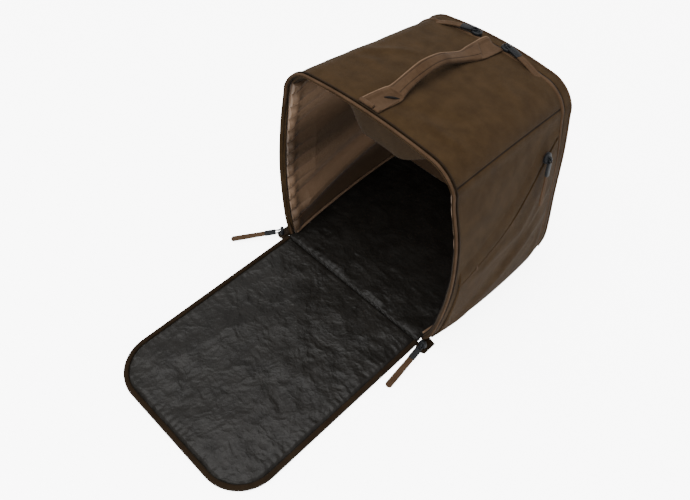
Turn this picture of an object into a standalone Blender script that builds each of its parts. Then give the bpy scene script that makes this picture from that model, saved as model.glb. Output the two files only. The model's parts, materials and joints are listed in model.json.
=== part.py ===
"""Ski boot bag: an arched soft bag whose front panel unzips and lies flat as a standing mat.

Metres. +X is right as seen facing the mouth, +Y runs from the mouth to the back, +Z is up.
The origin is the centre of the base's underside, which rests on the ground.
"""

import functools
import math

import bmesh
import bpy
import numpy as np
from mathutils import Matrix, Vector

# ---------------------------------------------------------------- driving dimensions

GAP = 0.0003

DEPTH = 0.300
FRONT = -DEPTH / 2
BACK = DEPTH / 2

# The outline across the bag: heights as parts of the shoulder's height, and the half width at
# each height, given at the mouth, half way back and at the back.
SIDE_HEIGHTS = (0.0, 0.15, 0.48, 0.78, 1.0)
LEFT_WIDTHS = (
    (0.150, 0.163, 0.164),
    (0.162, 0.171, 0.168),
    (0.168, 0.172, 0.158),
    (0.161, 0.158, 0.150),
    (0.150, 0.142, 0.142),
)
RIGHT_WIDTHS = (
    (0.154, 0.170, 0.169),
    (0.170, 0.180, 0.172),
    (0.180, 0.182, 0.161),
    (0.174, 0.169, 0.152),
    (0.157, 0.150, 0.142),
)
CREST_HEIGHTS = (0.374, 0.360, 0.338)
CORNER_RADIUS = 0.055
CROWN = 0.006
SEAM_RISE = 0.07

BASE_THICKNESS = 0.0035
FLOOR_LINER_THICKNESS = 0.0022
WALL_FOOT = BASE_THICKNESS + 0.0010
PANEL_THICKNESS = 0.0030
LINING_THICKNESS = 0.0042

# Mouth edge, from the front backwards: teeth, zip tape, binding, then the panels.
MOUTH_HALF_WIDTH = 0.150
MOUTH_HEIGHT = 0.364
MOUTH_RADIUS = 0.060
TEETH_WIDTH = 0.0035
TEETH_THICKNESS = 0.0017
TAPE_THICKNESS = 0.0017
BINDING_DEPTH = 0.0067
BINDING_PROUD = 0.0012
BINDING_INNER = 0.0085
PANEL_FRONT = FRONT + 0.0113

# Front panel, lying open: fabric, foam and mat, with a bound edge and its half of the zip.
MAT_HALF_WIDTH = 0.152
MAT_LENGTH = 0.370
MAT_RADIUS = 0.066
MAT_THICKNESS = 0.0060
MAT_BINDING_WIDTH = 0.0055
FRONT_HINGE = Vector((0, FRONT - 0.0010, MAT_THICKNESS))

# Rear cover: a shallow tray zipped all round, hinged along the floor.
REAR_ZIP = FRONT + 0.2755
REAR_TAPE_DEPTH = 0.0040
REAR_TEETH_DEPTH = 0.0012
COVER_FRONT = REAR_ZIP + REAR_TAPE_DEPTH + REAR_TEETH_DEPTH + 2 * GAP
COVER_FACE_THICKNESS = 0.0020
COVER_FOAM_THICKNESS = 0.0032
COVER_LINING_THICKNESS = 0.0017
REAR_HINGE = Vector((0, BACK - 0.0005, 0.0045))

# Side pockets: each opens along a slanting zip, low at the front and high at the back.
POCKET_FRONT = FRONT + 0.020
POCKET_BACK = FRONT + 0.266
POCKET_ZIP_FRONT_HEIGHT = 0.168
POCKET_ZIP_BACK_HEIGHT = 0.268
POCKET_STANDOFF = 0.0010
POCKET_THICKNESS = 0.0024
POCKET_ZIP_WIDTH = 0.012
POCKET_ZIP_THICKNESS = 0.0018
POCKET_SLIDER_DISTANCE = 0.224

# Grab handle, running from the mouth to the back along the middle of the top.
HANDLE_FRONT = FRONT + 0.034
HANDLE_BACK = FRONT + 0.250
HANDLE_PIVOT_HEIGHT = 0.0070
HANDLE_RISE = 0.023
HANDLE_LEAN = math.radians(40)
HANDLE_WEBBING = (0.024, 0.0020)
GRIP_SPAN = (0.15, 0.85)
GRIP_HALF_WIDTH = 0.0150
GRIP_HALF_THICKNESS = 0.0048
BASE_WEBBING = (0.030, 0.0012)

# Zip sliders and the pulls on them.
SLIDER_LENGTH = 0.0120
SLIDER_WIDTH = 0.0090
SLIDER_HALF_HEIGHT = 0.0025
BRIDGE_LENGTH = 0.0068
BRIDGE_WIDTH = 0.0024
BRIDGE_HEIGHT = 0.0042
PIVOT_HEIGHT = SLIDER_HALF_HEIGHT + 0.0021
PULL_TAB_LENGTH = 0.0240
PULL_TAB_WIDTH = 0.0090
PULL_TAB_THICKNESS = 0.0016
PULL_LOOP_LENGTH = 0.0620
PULL_LOOP_WIDTH = 0.0100
PULL_LOOP_SPREAD = 0.0030
PULL_WEBBING = 0.0009
MOUTH_PULL_ANGLE = 96
REAR_PULL_ANGLE = -8
MOUTH_SLIDERS = (
    ("mouth_left", (-0.1610, FRONT - 0.0056, 0.0125), (-0.6, -0.8, 0)),
    ("mouth_right", (0.1612, FRONT - 0.0036, 0.0125), (0.08, -1, 0)),
)
REAR_SLIDERS = (("rear_left", -0.029, (-1, -0.14, 0)), ("rear_right", 0.026, (1, -0.16, 0)))
REAR_SLIDER_LIFT = 0.0016
POCKET_SLIDER_LIFT = 0.0012

# colour, roughness, metallic
FABRIC = ((0.064, 0.041, 0.026), 0.82, 0.0)
WEBBING = ((0.120, 0.084, 0.058), 0.78, 0.0)
SATIN = ((0.110, 0.074, 0.050), 0.42, 0.0)
TARPAULIN = ((0.018, 0.017, 0.016), 0.40, 0.0)
FOAM = ((0.050, 0.050, 0.052), 0.95, 0.0)
BLACK_PLASTIC = ((0.014, 0.016, 0.020), 0.38, 0.0)
COIL = ((0.040, 0.030, 0.022), 0.50, 0.0)


# ---------------------------------------------------------------- outlines


def between(values, part):
    """A smooth value along the bag, from its values at the mouth, half way and the back."""
    front, middle, back = values
    return (
        front * (1 - part) * (1 - 2 * part)
        + middle * 4 * part * (1 - part)
        + back * part * (2 * part - 1)
    )


def smooth(points, steps=6):
    """A Catmull-Rom curve through the points, with each point at a multiple of steps."""
    points = np.asarray(points, float)
    ends = [2 * points[0] - points[1], 2 * points[-1] - points[-2]]
    padded = np.vstack([ends[0], points, ends[1]])
    curve = []
    for index in range(len(points) - 1):
        a, b, c, d = padded[index : index + 4]
        for step in range(steps):
            t = step / steps
            curve.append(
                0.5
                * (
                    2 * b
                    + (c - a) * t
                    + (2 * a - 5 * b + 4 * c - d) * t**2
                    + (3 * b - a - 3 * c + d) * t**3
                )
            )
    curve.append(points[-1])
    return np.array(curve)


def corner_points(centre, radius, angles):
    return [(centre[0] + radius * math.cos(a), centre[1] + radius * math.sin(a)) for a in angles]


def half_rib(widths, part):
    """Half of the outline across the bag, from the foot to beside the crest, as (x, z)."""
    crest = between(CREST_HEIGHTS, part)
    shoulder = crest - CROWN - CORNER_RADIUS
    side = [
        (between(width, part), WALL_FOOT + (shoulder - WALL_FOOT) * height)
        for width, height in zip(widths, SIDE_HEIGHTS)
    ]
    centre = (side[-1][0] - CORNER_RADIUS, shoulder)
    corner = corner_points(centre, CORNER_RADIUS, [math.radians(22.5 * n) for n in (1, 2, 3, 4)])
    return side + corner + [(centre[0] / 2, crest - CROWN / 4)]


@functools.lru_cache(maxsize=None)
def rib(y):
    """The bag's outer outline at y in three runs: left side going up, top, right side going down."""
    part = (y - FRONT) / DEPTH
    left = [(-x, z) for x, z in half_rib(LEFT_WIDTHS, part)]
    right = half_rib(RIGHT_WIDTHS, part)[::-1]
    steps = 6
    curve = smooth(left + [(0.0, between(CREST_HEIGHTS, part))] + right, steps)
    side = (len(SIDE_HEIGHTS) - 1) * steps
    return curve[: side + 1], curve[side : len(curve) - side], curve[len(curve) - side - 1 :]


@functools.lru_cache(maxsize=None)
def arch(half_width, height, radius, foot):
    """A plain arch with straight sides and round top corners, in the same three runs."""
    shoulder = height - radius
    centre = (half_width - radius, shoulder)
    angles = [math.radians(90 * n / 12) for n in range(13)]
    right = corner_points(centre, radius, angles)
    left = [(-x, z) for x, z in right]
    side = np.linspace((half_width, foot), (half_width, shoulder), 9)
    return side * (-1, 1), np.array(left + right[::-1]), side[::-1]


def along(runs, u):
    """The point and the outward normal at u, where each run counts 1 and is paced by its length."""
    index = min(int(u), len(runs) - 1)
    run = runs[index]
    steps = np.hypot(*np.diff(run, axis=0).T)
    lengths = np.concatenate([[0], np.cumsum(steps)])
    distance = (u - index) * lengths[-1]
    tangents = np.gradient(run, lengths, axis=0)
    point = np.array([np.interp(distance, lengths, run[:, axis]) for axis in (0, 1)])
    tangent = np.array([np.interp(distance, lengths, tangents[:, axis]) for axis in (0, 1)])
    tangent /= np.hypot(*tangent)
    return point, np.array([-tangent[1], tangent[0]])


def skin(u, y, inset=0.0):
    """A point of the bag's outer surface, moved inwards by inset."""
    point, normal = along(rib(y), u)
    x, z = point - inset * normal
    return Vector((x, y, z))


def skin_normal(u, y):
    """The outward normal of the surface, across the bag and along it."""
    step = 0.002
    across = skin(u + step, y) - skin(u - step, y)
    lengthwise = skin(u, y + step) - skin(u, y - step)
    return across.cross(lengthwise).normalized()


def side_u(side, height, y):
    """The place on the left (-1) or right (+1) side that is at this height."""
    run = rib(y)[0 if side < 0 else 2]
    low, high = 0.0, 1.0
    for _ in range(24):
        middle = (low + high) / 2
        rising = middle if side < 0 else 3 - middle
        if skin(rising, y).z < height:
            low = middle
        else:
            high = middle
    return low if side < 0 else 3 - low


def crest_height(y):
    return between(CREST_HEIGHTS, (y - FRONT) / DEPTH)


# ---------------------------------------------------------------- meshes


def new_object(name, mesh_data, finish, parent=None):
    """One named piece with its own material, hung on an empty when it moves."""
    mesh = bpy.data.meshes.new(name)
    mesh_data.to_mesh(mesh)
    mesh_data.free()
    if parent is not None:
        mesh.transform(parent.matrix_world.inverted())
    piece = bpy.data.objects.new(name, mesh)
    piece.parent = parent
    colour, roughness, metallic = finish
    material = bpy.data.materials.new(name)
    material.use_nodes = True
    shader = material.node_tree.nodes["Principled BSDF"]
    shader.inputs["Base Color"].default_value = (*colour, 1)
    shader.inputs["Roughness"].default_value = roughness
    shader.inputs["Metallic"].default_value = metallic
    mesh.materials.append(material)
    mesh.shade_smooth()
    mesh.set_sharp_from_angle(angle=math.radians(35))
    bpy.context.scene.collection.objects.link(piece)
    return piece


def pivot(name, matrix):
    """An empty on a joint's axis."""
    empty = bpy.data.objects.new(name, None)
    empty.empty_display_size = 0.02
    bpy.context.scene.collection.objects.link(empty)
    empty.matrix_world = matrix
    bpy.context.view_layer.update()
    return empty


def closed_mesh(points, faces):
    mesh = bmesh.new()
    corners = [mesh.verts.new(point) for point in points]
    for face in faces:
        mesh.faces.new([corners[index] for index in face])
    bmesh.ops.recalc_face_normals(mesh, faces=mesh.faces)
    return mesh


def slab(first, second):
    """A closed solid between two grids of points with the same rows and columns."""
    rows, columns = len(first), len(first[0])
    points = [p for row in first for p in row] + [p for row in second for p in row]
    offset = rows * columns

    def at(row, column, layer):
        return layer * offset + row * columns + column

    faces = []
    for row in range(rows - 1):
        for column in range(columns - 1):
            for layer in (0, 1):
                faces.append(
                    [
                        at(row, column, layer),
                        at(row, column + 1, layer),
                        at(row + 1, column + 1, layer),
                        at(row + 1, column, layer),
                    ]
                )
        for column in (0, columns - 1):
            faces.append(
                [at(row, column, 0), at(row + 1, column, 0), at(row + 1, column, 1), at(row, column, 1)]
            )
    for column in range(columns - 1):
        for row in (0, rows - 1):
            faces.append(
                [at(row, column, 0), at(row, column + 1, 0), at(row, column + 1, 1), at(row, column, 1)]
            )
    return closed_mesh(points, faces)


def whole_arch(side_steps, top_steps=24):
    """Places along all three runs, closer together round the top."""
    steps = (side_steps, top_steps, side_steps)
    runs = [index + np.arange(count) / count for index, count in enumerate(steps)]
    return np.concatenate(runs + [[3.0]])


def wall(columns, y_range, outer, inner, rows=8):
    """A curved panel of the bag between two insets, where columns gives the places u at each y."""

    def layer(inset):
        ys = [float(y) for y in np.linspace(*y_range, rows + 1)]
        return [[skin(float(u), y, inset) for u in columns(y)] for y in ys]

    return slab(layer(outer), layer(inner))


def arch_points(runs, places, inset=0.0):
    """Points along the three runs, as (x, z)."""
    points = []
    for u in places:
        point, normal = along(runs, float(u))
        points.append(point - inset * normal)
    return points


def ring(outside, inside, near, far, place):
    """An open ring between two lists of (x, z), with its thickness from near to far."""

    def layer(depth):
        return [[place(x, z, depth) for x, z in (a, b)] for a, b in zip(outside, inside)]

    return slab(layer(near), layer(far))


def plate(outline, near, far, place):
    """A flat filled plate."""
    count = len(outline)
    points = [place(x, z, depth) for depth in (near, far) for x, z in outline]
    faces = [list(range(count)), list(range(2 * count - 1, count - 1, -1))]
    for index in range(count):
        after = (index + 1) % count
        faces.append([index, after, count + after, count + index])
    return closed_mesh(points, faces)


def upright(x, z, depth):
    """A place in a plane across the bag, depth being its y."""
    return Vector((x, depth, z))


def lying(x, distance, depth):
    """A place in the open front panel: distance from the hinge, and depth as its z."""
    return Vector((x, FRONT_HINGE.y - distance, depth))


def strap(path, widths, thickness):
    """A flat strap along a path in a vertical plane at x = 0."""
    path = [Vector(point) for point in path]
    upper, lower = [], []
    for index, point in enumerate(path):
        before, after = path[max(index - 1, 0)], path[min(index + 1, len(path) - 1)]
        tangent = (after - before).normalized()
        lift = Vector((1, 0, 0)).cross(tangent) * thickness / 2
        across = Vector((widths[index] / 2, 0, 0))
        upper.append([point + lift - across, point + lift + across])
        lower.append([point - lift - across, point - lift + across])
    return slab(upper, lower)


def rounded_rectangle(half_length, half_width, radius, steps=3):
    """Points round a rectangle with round corners, centred on the origin."""
    points = []
    for quarter, (sx, sy) in enumerate(((1, 1), (-1, 1), (-1, -1), (1, -1))):
        centre = (sx * (half_length - radius), sy * (half_width - radius))
        angles = [math.radians(90 * (quarter + n / steps)) for n in range(steps + 1)]
        points += corner_points(centre, radius, angles)
    return points


def hollow_plate(outside, inside, low, high):
    """A flat plate with one hole, from two closed outlines with the same number of points."""
    count = len(outside)
    loops = [(outside, low), (outside, high), (inside, high), (inside, low)]
    points = [Vector((x, y, z)) for outline, z in loops for x, y in outline]
    faces = []
    for level in range(4):
        for index in range(count):
            after = (index + 1) % count
            here, above = level * count, ((level + 1) % 4) * count
            faces.append([here + index, here + after, above + after, above + index])
    return closed_mesh(points, faces)


# ---------------------------------------------------------------- bag body


def make_base():
    """The stiff bottom, the tarpaulin floor over it and the strip that the front panel folds on."""
    rows = np.linspace(PANEL_FRONT, BACK - 0.0030, 9)

    def layer(height, margin, ys):
        grid = []
        for y in ys:
            left, right = skin(0, float(y)).x + margin, skin(3, float(y)).x - margin
            grid.append([Vector((left, y, height)), Vector((right, y, height))])
        return grid

    new_object("base_panel", slab(layer(0, 0, rows), layer(BASE_THICKNESS, 0, rows)), FABRIC)
    floor = BASE_THICKNESS + GAP
    inner_rows = np.linspace(PANEL_FRONT, BACK - 0.0062, 9)
    margin = PANEL_THICKNESS + LINING_THICKNESS + 4 * GAP
    top = floor + FLOOR_LINER_THICKNESS
    floor_grid = slab(layer(floor, margin, inner_rows), layer(top, margin, inner_rows))
    new_object("floor_liner", floor_grid, TARPAULIN)
    width = LEFT_WIDTHS[0][0] - BINDING_INNER - 2 * GAP
    strip = [(-width, 0), (width, 0), (width, MAT_THICKNESS - 0.0006), (-width, MAT_THICKNESS - 0.0006)]
    depths = (FRONT - 0.0004, PANEL_FRONT - GAP)
    new_object("hinge_strip", plate(strip, *depths, upright), TARPAULIN)


def make_walls():
    """Outer panels, split at the two shoulder seams, and the quilted lining behind each."""
    seam = 0.0015
    left_seam, right_seam = 1 + SEAM_RISE, 2 - SEAM_RISE
    runs = {
        "left": np.linspace(0, left_seam - seam, 10),
        "top": np.linspace(left_seam + seam, right_seam - seam, 17),
        "right": np.linspace(right_seam + seam, 3, 10),
    }
    lined = PANEL_THICKNESS + GAP
    ys = (PANEL_FRONT, REAR_ZIP - GAP)
    for side, places in runs.items():
        kind = "panel" if side == "top" else "side_panel"
        panel = wall(lambda y, places=places: places, ys, 0, PANEL_THICKNESS)
        new_object(f"{side}_{kind}", panel, FABRIC)
        lining = wall(lambda y, places=places: places, ys, lined, lined + LINING_THICKNESS)
        new_object(f"{side}_lining", lining, SATIN)


def make_mouth():
    """Zip teeth, zip tape and binding round the mouth. The tape runs in to the mouth's own arch."""
    places = whole_arch(8)
    mouth = arch(MOUTH_HALF_WIDTH, MOUTH_HEIGHT, MOUTH_RADIUS, WALL_FOOT)
    teeth_front = FRONT + GAP
    tape_front = teeth_front + TEETH_THICKNESS + GAP
    binding_front = tape_front + TAPE_THICKNESS + GAP
    edge = arch_points(mouth, places)
    teeth_edge = arch_points(mouth, places, -TEETH_WIDTH)
    teeth = ring(teeth_edge, edge, teeth_front, teeth_front + TEETH_THICKNESS, upright)
    new_object("mouth_zip_teeth", teeth, COIL)
    outer = rib(FRONT)
    tape = ring(arch_points(outer, places), edge, tape_front, tape_front + TAPE_THICKNESS, upright)
    new_object("mouth_zip_tape", tape, WEBBING)
    binding = ring(
        arch_points(outer, places, -BINDING_PROUD),
        arch_points(outer, places, BINDING_INNER),
        binding_front,
        binding_front + BINDING_DEPTH,
        upright,
    )
    new_object("mouth_binding", binding, WEBBING)


def rear_band(start, depth, thickness=0.0020):
    """A narrow band round the arch, starting at this y."""
    return wall(lambda y: whole_arch(8), (start, start + depth), 0, thickness, 1)


def make_rear_zip():
    """The fixed half of the rear zip, round the back edge of the walls."""
    tape = rear_band(REAR_ZIP, REAR_TAPE_DEPTH)
    new_object("rear_zip_tape", tape, WEBBING)
    teeth = rear_band(REAR_ZIP + REAR_TAPE_DEPTH + GAP, REAR_TEETH_DEPTH)
    new_object("rear_zip_teeth", teeth, COIL)


def pocket_zip_height(y):
    part = (y - POCKET_FRONT) / (POCKET_BACK - POCKET_FRONT)
    return POCKET_ZIP_FRONT_HEIGHT + part * (POCKET_ZIP_BACK_HEIGHT - POCKET_ZIP_FRONT_HEIGHT)


def make_pockets():
    """On each side, a loose outer panel below the slanting zip, and the zip's tape."""
    for name, side in (("left", -1), ("right", 1)):

        def level(y, offset, side=side):
            return side_u(side, pocket_zip_height(y) + offset, y)

        def below_zip(y, side=side):
            return np.linspace(0.004 if side < 0 else 2.996, level(y, 0, side), 9)

        def over_zip(y, side=side):
            return np.linspace(level(y, 2 * GAP, side), level(y, POCKET_ZIP_WIDTH, side), 3)

        ys = (POCKET_FRONT, POCKET_BACK)
        inner = -POCKET_STANDOFF
        bag = wall(below_zip, ys, inner - POCKET_THICKNESS, inner)
        new_object(f"{name}_pocket_panel", bag, FABRIC)
        tape = wall(over_zip, ys, inner - POCKET_ZIP_THICKNESS, inner)
        new_object(f"{name}_pocket_zip", tape, COIL)


# ---------------------------------------------------------------- front panel and rear cover


def make_front_panel():
    """The panel lies open in front of the mouth, mat upwards."""
    hinge = pivot("front_panel_hinge", Matrix.Translation(FRONT_HINGE))
    start = 0.0010

    def outline(inset):
        runs = arch(MAT_HALF_WIDTH - inset, MAT_LENGTH - inset, MAT_RADIUS - inset, start)
        return arch_points(runs, whole_arch(2, 28))

    layers = (
        ("shell", 0, 0.0018, FABRIC),
        ("foam", 0.0021, 0.0042, FOAM),
        ("mat", 0.0045, MAT_THICKNESS, TARPAULIN),
    )
    inset = TEETH_WIDTH + GAP + MAT_BINDING_WIDTH + GAP
    for name, low, high, finish in layers:
        layer = plate(outline(inset), low, high, lying)
        new_object(f"front_panel_{name}", layer, finish, hinge)
    inner = outline(TEETH_WIDTH + GAP + MAT_BINDING_WIDTH)
    binding = ring(outline(TEETH_WIDTH + GAP), inner, 0, MAT_THICKNESS, lying)
    new_object("front_panel_binding", binding, WEBBING, hinge)
    low = (MAT_THICKNESS - TEETH_THICKNESS) / 2
    teeth = ring(outline(0), outline(TEETH_WIDTH), low, low + TEETH_THICKNESS, lying)
    new_object("front_panel_zip_teeth", teeth, COIL, hinge)


def make_rear_cover():
    """Its half of the zip, a gusset round the edge, piping, and a padded back of three layers."""
    hinge = pivot("rear_cover_hinge", Matrix.Translation(REAR_HINGE))
    places = whole_arch(8)
    face = BACK + 0.0005
    teeth = rear_band(COVER_FRONT, REAR_TEETH_DEPTH)
    new_object("rear_cover_zip_teeth", teeth, COIL, hinge)
    gusset_front = COVER_FRONT + REAR_TEETH_DEPTH + GAP
    gusset = rear_band(gusset_front, face - GAP - gusset_front, PANEL_THICKNESS)
    new_object("rear_cover_gusset", gusset, FABRIC, hinge)
    back = rib(BACK)
    inside, outside = arch_points(back, places, -3 * GAP), arch_points(back, places, -0.0032)
    new_object("rear_cover_piping", ring(outside, inside, BACK - 0.0020, face, upright), WEBBING, hinge)
    shell = plate(arch_points(back, places), face, face + COVER_FACE_THICKNESS, upright)
    new_object("rear_cover_panel", shell, FABRIC, hinge)
    inset = PANEL_THICKNESS + 0.0020
    inner = [(x, max(z, WALL_FOOT + inset)) for x, z in arch_points(back, places, inset)]
    foam_front = face - GAP - COVER_FOAM_THICKNESS
    foam = plate(inner, foam_front, foam_front + COVER_FOAM_THICKNESS, upright)
    new_object("rear_cover_foam", foam, FOAM, hinge)
    lining_front = foam_front - GAP - COVER_LINING_THICKNESS
    lining = plate(inner, lining_front, lining_front + COVER_LINING_THICKNESS, upright)
    new_object("rear_cover_lining", lining, SATIN, hinge)


# ---------------------------------------------------------------- handle


def handle_point(part):
    """The handle's middle line, from the front pivot at 0 to the rear pivot at 1."""
    front = crest_height(HANDLE_FRONT) + HANDLE_PIVOT_HEIGHT
    back = crest_height(HANDLE_BACK) + HANDLE_PIVOT_HEIGHT
    y = HANDLE_FRONT + part * (HANDLE_BACK - HANDLE_FRONT)
    rise = HANDLE_RISE * max(math.sin(math.pi * part), 0) ** 0.8
    return Vector((0, y, front + part * (back - front) + rise))


def make_handle_mounts():
    """Reinforcing webbing along the top, and a folded tab at each end that the handle swings on."""
    width, thickness = BASE_WEBBING
    ys = np.linspace(PANEL_FRONT + 0.002, REAR_ZIP - 0.002, 11)
    path = [(0, y, crest_height(y) + GAP + thickness / 2) for y in ys]
    new_object("handle_base_webbing", strap(path, [width] * len(path), thickness), WEBBING)
    tab = 0.0018
    on_top = 2 * GAP + thickness + tab / 2
    ends = (("front", HANDLE_FRONT, -1), ("rear", HANDLE_BACK, 1))
    for name, y, outwards in ends:
        steps = ((0.0195, 0), (0.0125, 0), (0.0065, 0.0010), (0.0035, 0.0035), (0.0012, 0.0055))
        path = [
            (0, y + outwards * back, crest_height(y + outwards * back) + on_top + up) for back, up in steps
        ]
        widths = (0.0240, 0.0240, 0.0200, 0.0130, 0.0080)
        new_object(f"handle_{name}_anchor", strap(path, widths, tab), WEBBING)


def make_handle():
    """Webbing inside a padded grip, swinging sideways on the two tabs and leaning to the right."""
    front, back = handle_point(0), handle_point(1)
    turn = (back - front).to_track_quat("Y", "Z").to_matrix().to_4x4()
    axis = pivot("handle_pivot", Matrix.Translation(front) @ turn)
    lean = Matrix.Translation(front) @ Matrix.Rotation(HANDLE_LEAN, 4, back - front)
    lean = lean @ Matrix.Translation(-front)
    width, thickness = HANDLE_WEBBING
    parts = np.linspace(0.003, 0.997, 19)
    path = [handle_point(float(part)) for part in parts]
    widths = [0.007 + (width - 0.007) * min(1, 5.5 * min(part, 1 - part)) for part in parts]
    webbing = strap(path, widths, thickness)
    webbing.transform(lean)
    new_object("handle_webbing", webbing, WEBBING, axis)

    outside, inside = [], []
    for part in np.linspace(*GRIP_SPAN, 13):
        part = float(part)
        centre = handle_point(part)
        tangent = (handle_point(part + 0.01) - handle_point(part - 0.01)).normalized()
        lift = Vector((1, 0, 0)).cross(tangent)
        end = min(1, 5 * min(part - GRIP_SPAN[0], GRIP_SPAN[1] - part) / (GRIP_SPAN[1] - GRIP_SPAN[0]))
        half_width = GRIP_HALF_WIDTH * (0.90 + 0.10 * end)
        half_thickness = GRIP_HALF_THICKNESS * (0.75 + 0.25 * end)
        section = rounded_rectangle(half_width, half_thickness, half_thickness * 0.95, 3)
        slot = rounded_rectangle(width / 2 + GAP, thickness / 2 + GAP, 0.0005, 3)
        for rows, points in ((outside, section), (inside, slot)):
            rows.append([centre + Vector((x, 0, 0)) + lift * z for x, z in points])
    grip = tube(outside, inside)
    grip.transform(lean)
    new_object("handle_grip", grip, WEBBING, axis)


def tube(outside, inside):
    """A closed solid between two nested tubes given as rows of points round each."""
    rows, count = len(outside), len(outside[0])
    points = [p for row in outside for p in row] + [p for row in inside for p in row]
    offset = rows * count
    faces = []
    for index in range(count):
        after = (index + 1) % count
        for row in range(rows - 1):
            for layer in (0, offset):
                here, above = layer + row * count, layer + (row + 1) * count
                faces.append([here + index, here + after, above + after, above + index])
        for row in (0, rows - 1):
            here = row * count
            faces.append([here + index, here + after, offset + here + after, offset + here + index])
    return closed_mesh(points, faces)


# ---------------------------------------------------------------- sliders and pulls


def slider_mesh():
    """The slider's body with the small bridge that its pull hangs on, as one solid."""
    half = SLIDER_HALF_HEIGHT
    outline = rounded_rectangle(SLIDER_LENGTH / 2, SLIDER_WIDTH / 2, 0.0030, 3)
    body = plate(outline, -half, half, lambda x, y, depth: Vector((x, y, depth)))
    base = new_object("slider_body_guide", body, BLACK_PLASTIC)
    outside = rounded_rectangle(BRIDGE_LENGTH / 2, BRIDGE_HEIGHT / 2 + 0.0005, 0.0012, 3)
    inside = rounded_rectangle(BRIDGE_LENGTH / 2 - 0.0014, 0.0011, 0.0006, 3)
    outside = [(x, z - 0.0005) for x, z in outside]
    bridge = hollow_plate(outside, inside, -BRIDGE_WIDTH / 2, BRIDGE_WIDTH / 2)
    bridge.transform(Matrix.Translation((0, 0, PIVOT_HEIGHT)) @ Matrix.Rotation(math.pi / 2, 4, "X"))
    arch_guide = new_object("slider_bridge_guide", bridge, BLACK_PLASTIC)
    union = base.modifiers.new("bridge", "BOOLEAN")
    union.operation = "UNION"
    union.object = arch_guide
    bpy.context.view_layer.update()
    graph = bpy.context.evaluated_depsgraph_get()
    mesh = bpy.data.meshes.new_from_object(base.evaluated_get(graph))
    for guide in (base, arch_guide):
        bpy.data.objects.remove(guide)
    return mesh


def pull_tab_mesh():
    """A flat moulded tab whose first bar turns inside the slider's bridge."""
    bar = 0.0008
    hole_length = 0.0062
    middle = (PULL_TAB_LENGTH - bar) / 2
    outside = rounded_rectangle((PULL_TAB_LENGTH + bar) / 2, PULL_TAB_WIDTH / 2, 0.0007, 3)
    outside = [(x + middle, y) for x, y in outside]
    inside = rounded_rectangle(hole_length / 2, BRIDGE_WIDTH / 2 + 0.0010, 0.0005, 3)
    inside = [(x + bar + hole_length / 2, y) for x, y in inside]
    return hollow_plate(outside, inside, -PULL_TAB_THICKNESS / 2, PULL_TAB_THICKNESS / 2)


def pull_loop_mesh():
    """A narrow webbing loop: out along one leg, round the end and back."""
    start = PULL_TAB_LENGTH + GAP
    end = start + PULL_LOOP_LENGTH
    spread = PULL_LOOP_SPREAD / 2
    turn = [math.radians(-90 + 180 * n / 6) for n in range(7)]
    path = [(start, -0.0006), (start + 0.012, -spread), (end - 0.020, -spread)]
    path += [(end - spread + spread * math.cos(a), spread * math.sin(a)) for a in turn]
    path += [(end - 0.020, spread), (start + 0.012, spread), (start, 0.0006)]
    half = PULL_WEBBING / 2
    outer, inner = [], []
    for index, (x, z) in enumerate(path):
        before, after = path[max(index - 1, 0)], path[min(index + 1, len(path) - 1)]
        tangent = Vector((after[0] - before[0], after[1] - before[1])).normalized()
        normal = Vector((tangent.y, -tangent.x)) * half
        for rows, sign in ((outer, 1), (inner, -1)):
            px, pz = x + sign * normal.x, z + sign * normal.y
            rows.append([Vector((px, side * PULL_LOOP_WIDTH / 2, pz)) for side in (-1, 1)])
    return slab(outer, inner)


def frame_matrix(origin, lengthwise, outwards):
    """A frame whose x runs along the zip and whose z points away from the surface."""
    z = outwards.normalized()
    x = (lengthwise - lengthwise.dot(z) * z).normalized()
    y = z.cross(x)
    matrix = Matrix((x, y, z)).transposed().to_4x4()
    matrix.translation = origin
    return matrix


def slider_frames():
    """Name, frame and resting angle of the pull, for each of the six sliders."""
    up = Vector((0, 0, 1))
    frames = []
    for name, place, outwards in MOUTH_SLIDERS:
        frames.append((name, frame_matrix(Vector(place), up, Vector(outwards)), MOUTH_PULL_ANGLE))
    y = REAR_ZIP + REAR_TAPE_DEPTH + REAR_TEETH_DEPTH
    height = crest_height(y) + SLIDER_HALF_HEIGHT + REAR_SLIDER_LIFT
    for name, x, lengthwise in REAR_SLIDERS:
        frame = frame_matrix(Vector((x, y, height)), Vector(lengthwise), up)
        frames.append((name, frame, REAR_PULL_ANGLE))
    for name, side in (("left", -1), ("right", 1)):
        y = FRONT + POCKET_SLIDER_DISTANCE
        u = side_u(side, pocket_zip_height(y) + POCKET_ZIP_WIDTH / 2, y)
        normal = skin_normal(u, y)
        lift = POCKET_STANDOFF + POCKET_ZIP_THICKNESS + POCKET_SLIDER_LIFT + SLIDER_HALF_HEIGHT
        frames.append((f"{name}_pocket", frame_matrix(skin(u, y) + lift * normal, -up, normal), 0))
    return frames


def make_sliders():
    body = slider_mesh()
    for name, frame, angle in slider_frames():
        slide = pivot(f"{name}_slide", frame)
        slider = bpy.data.objects.new(f"{name}_slider", body.copy())
        slider.parent = slide
        bpy.context.scene.collection.objects.link(slider)
        turn = Matrix.Rotation(math.radians(-angle), 4, "Y")
        hinge = pivot(f"{name}_pull_hinge", frame @ Matrix.Translation((0, 0, PIVOT_HEIGHT)) @ turn)
        pieces = (("tab", pull_tab_mesh(), BLACK_PLASTIC), ("loop", pull_loop_mesh(), WEBBING))
        for part, mesh, finish in pieces:
            mesh.transform(hinge.matrix_world)
            new_object(f"{name}_pull_{part}", mesh, finish, hinge)
    bpy.data.meshes.remove(body)


# ---------------------------------------------------------------- build


def main():
    for piece in list(bpy.data.objects):
        bpy.data.objects.remove(piece)
    make_base()
    make_walls()
    make_mouth()
    make_rear_zip()
    make_pockets()
    make_front_panel()
    make_rear_cover()
    make_handle_mounts()
    make_handle()
    make_sliders()


main()
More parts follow.
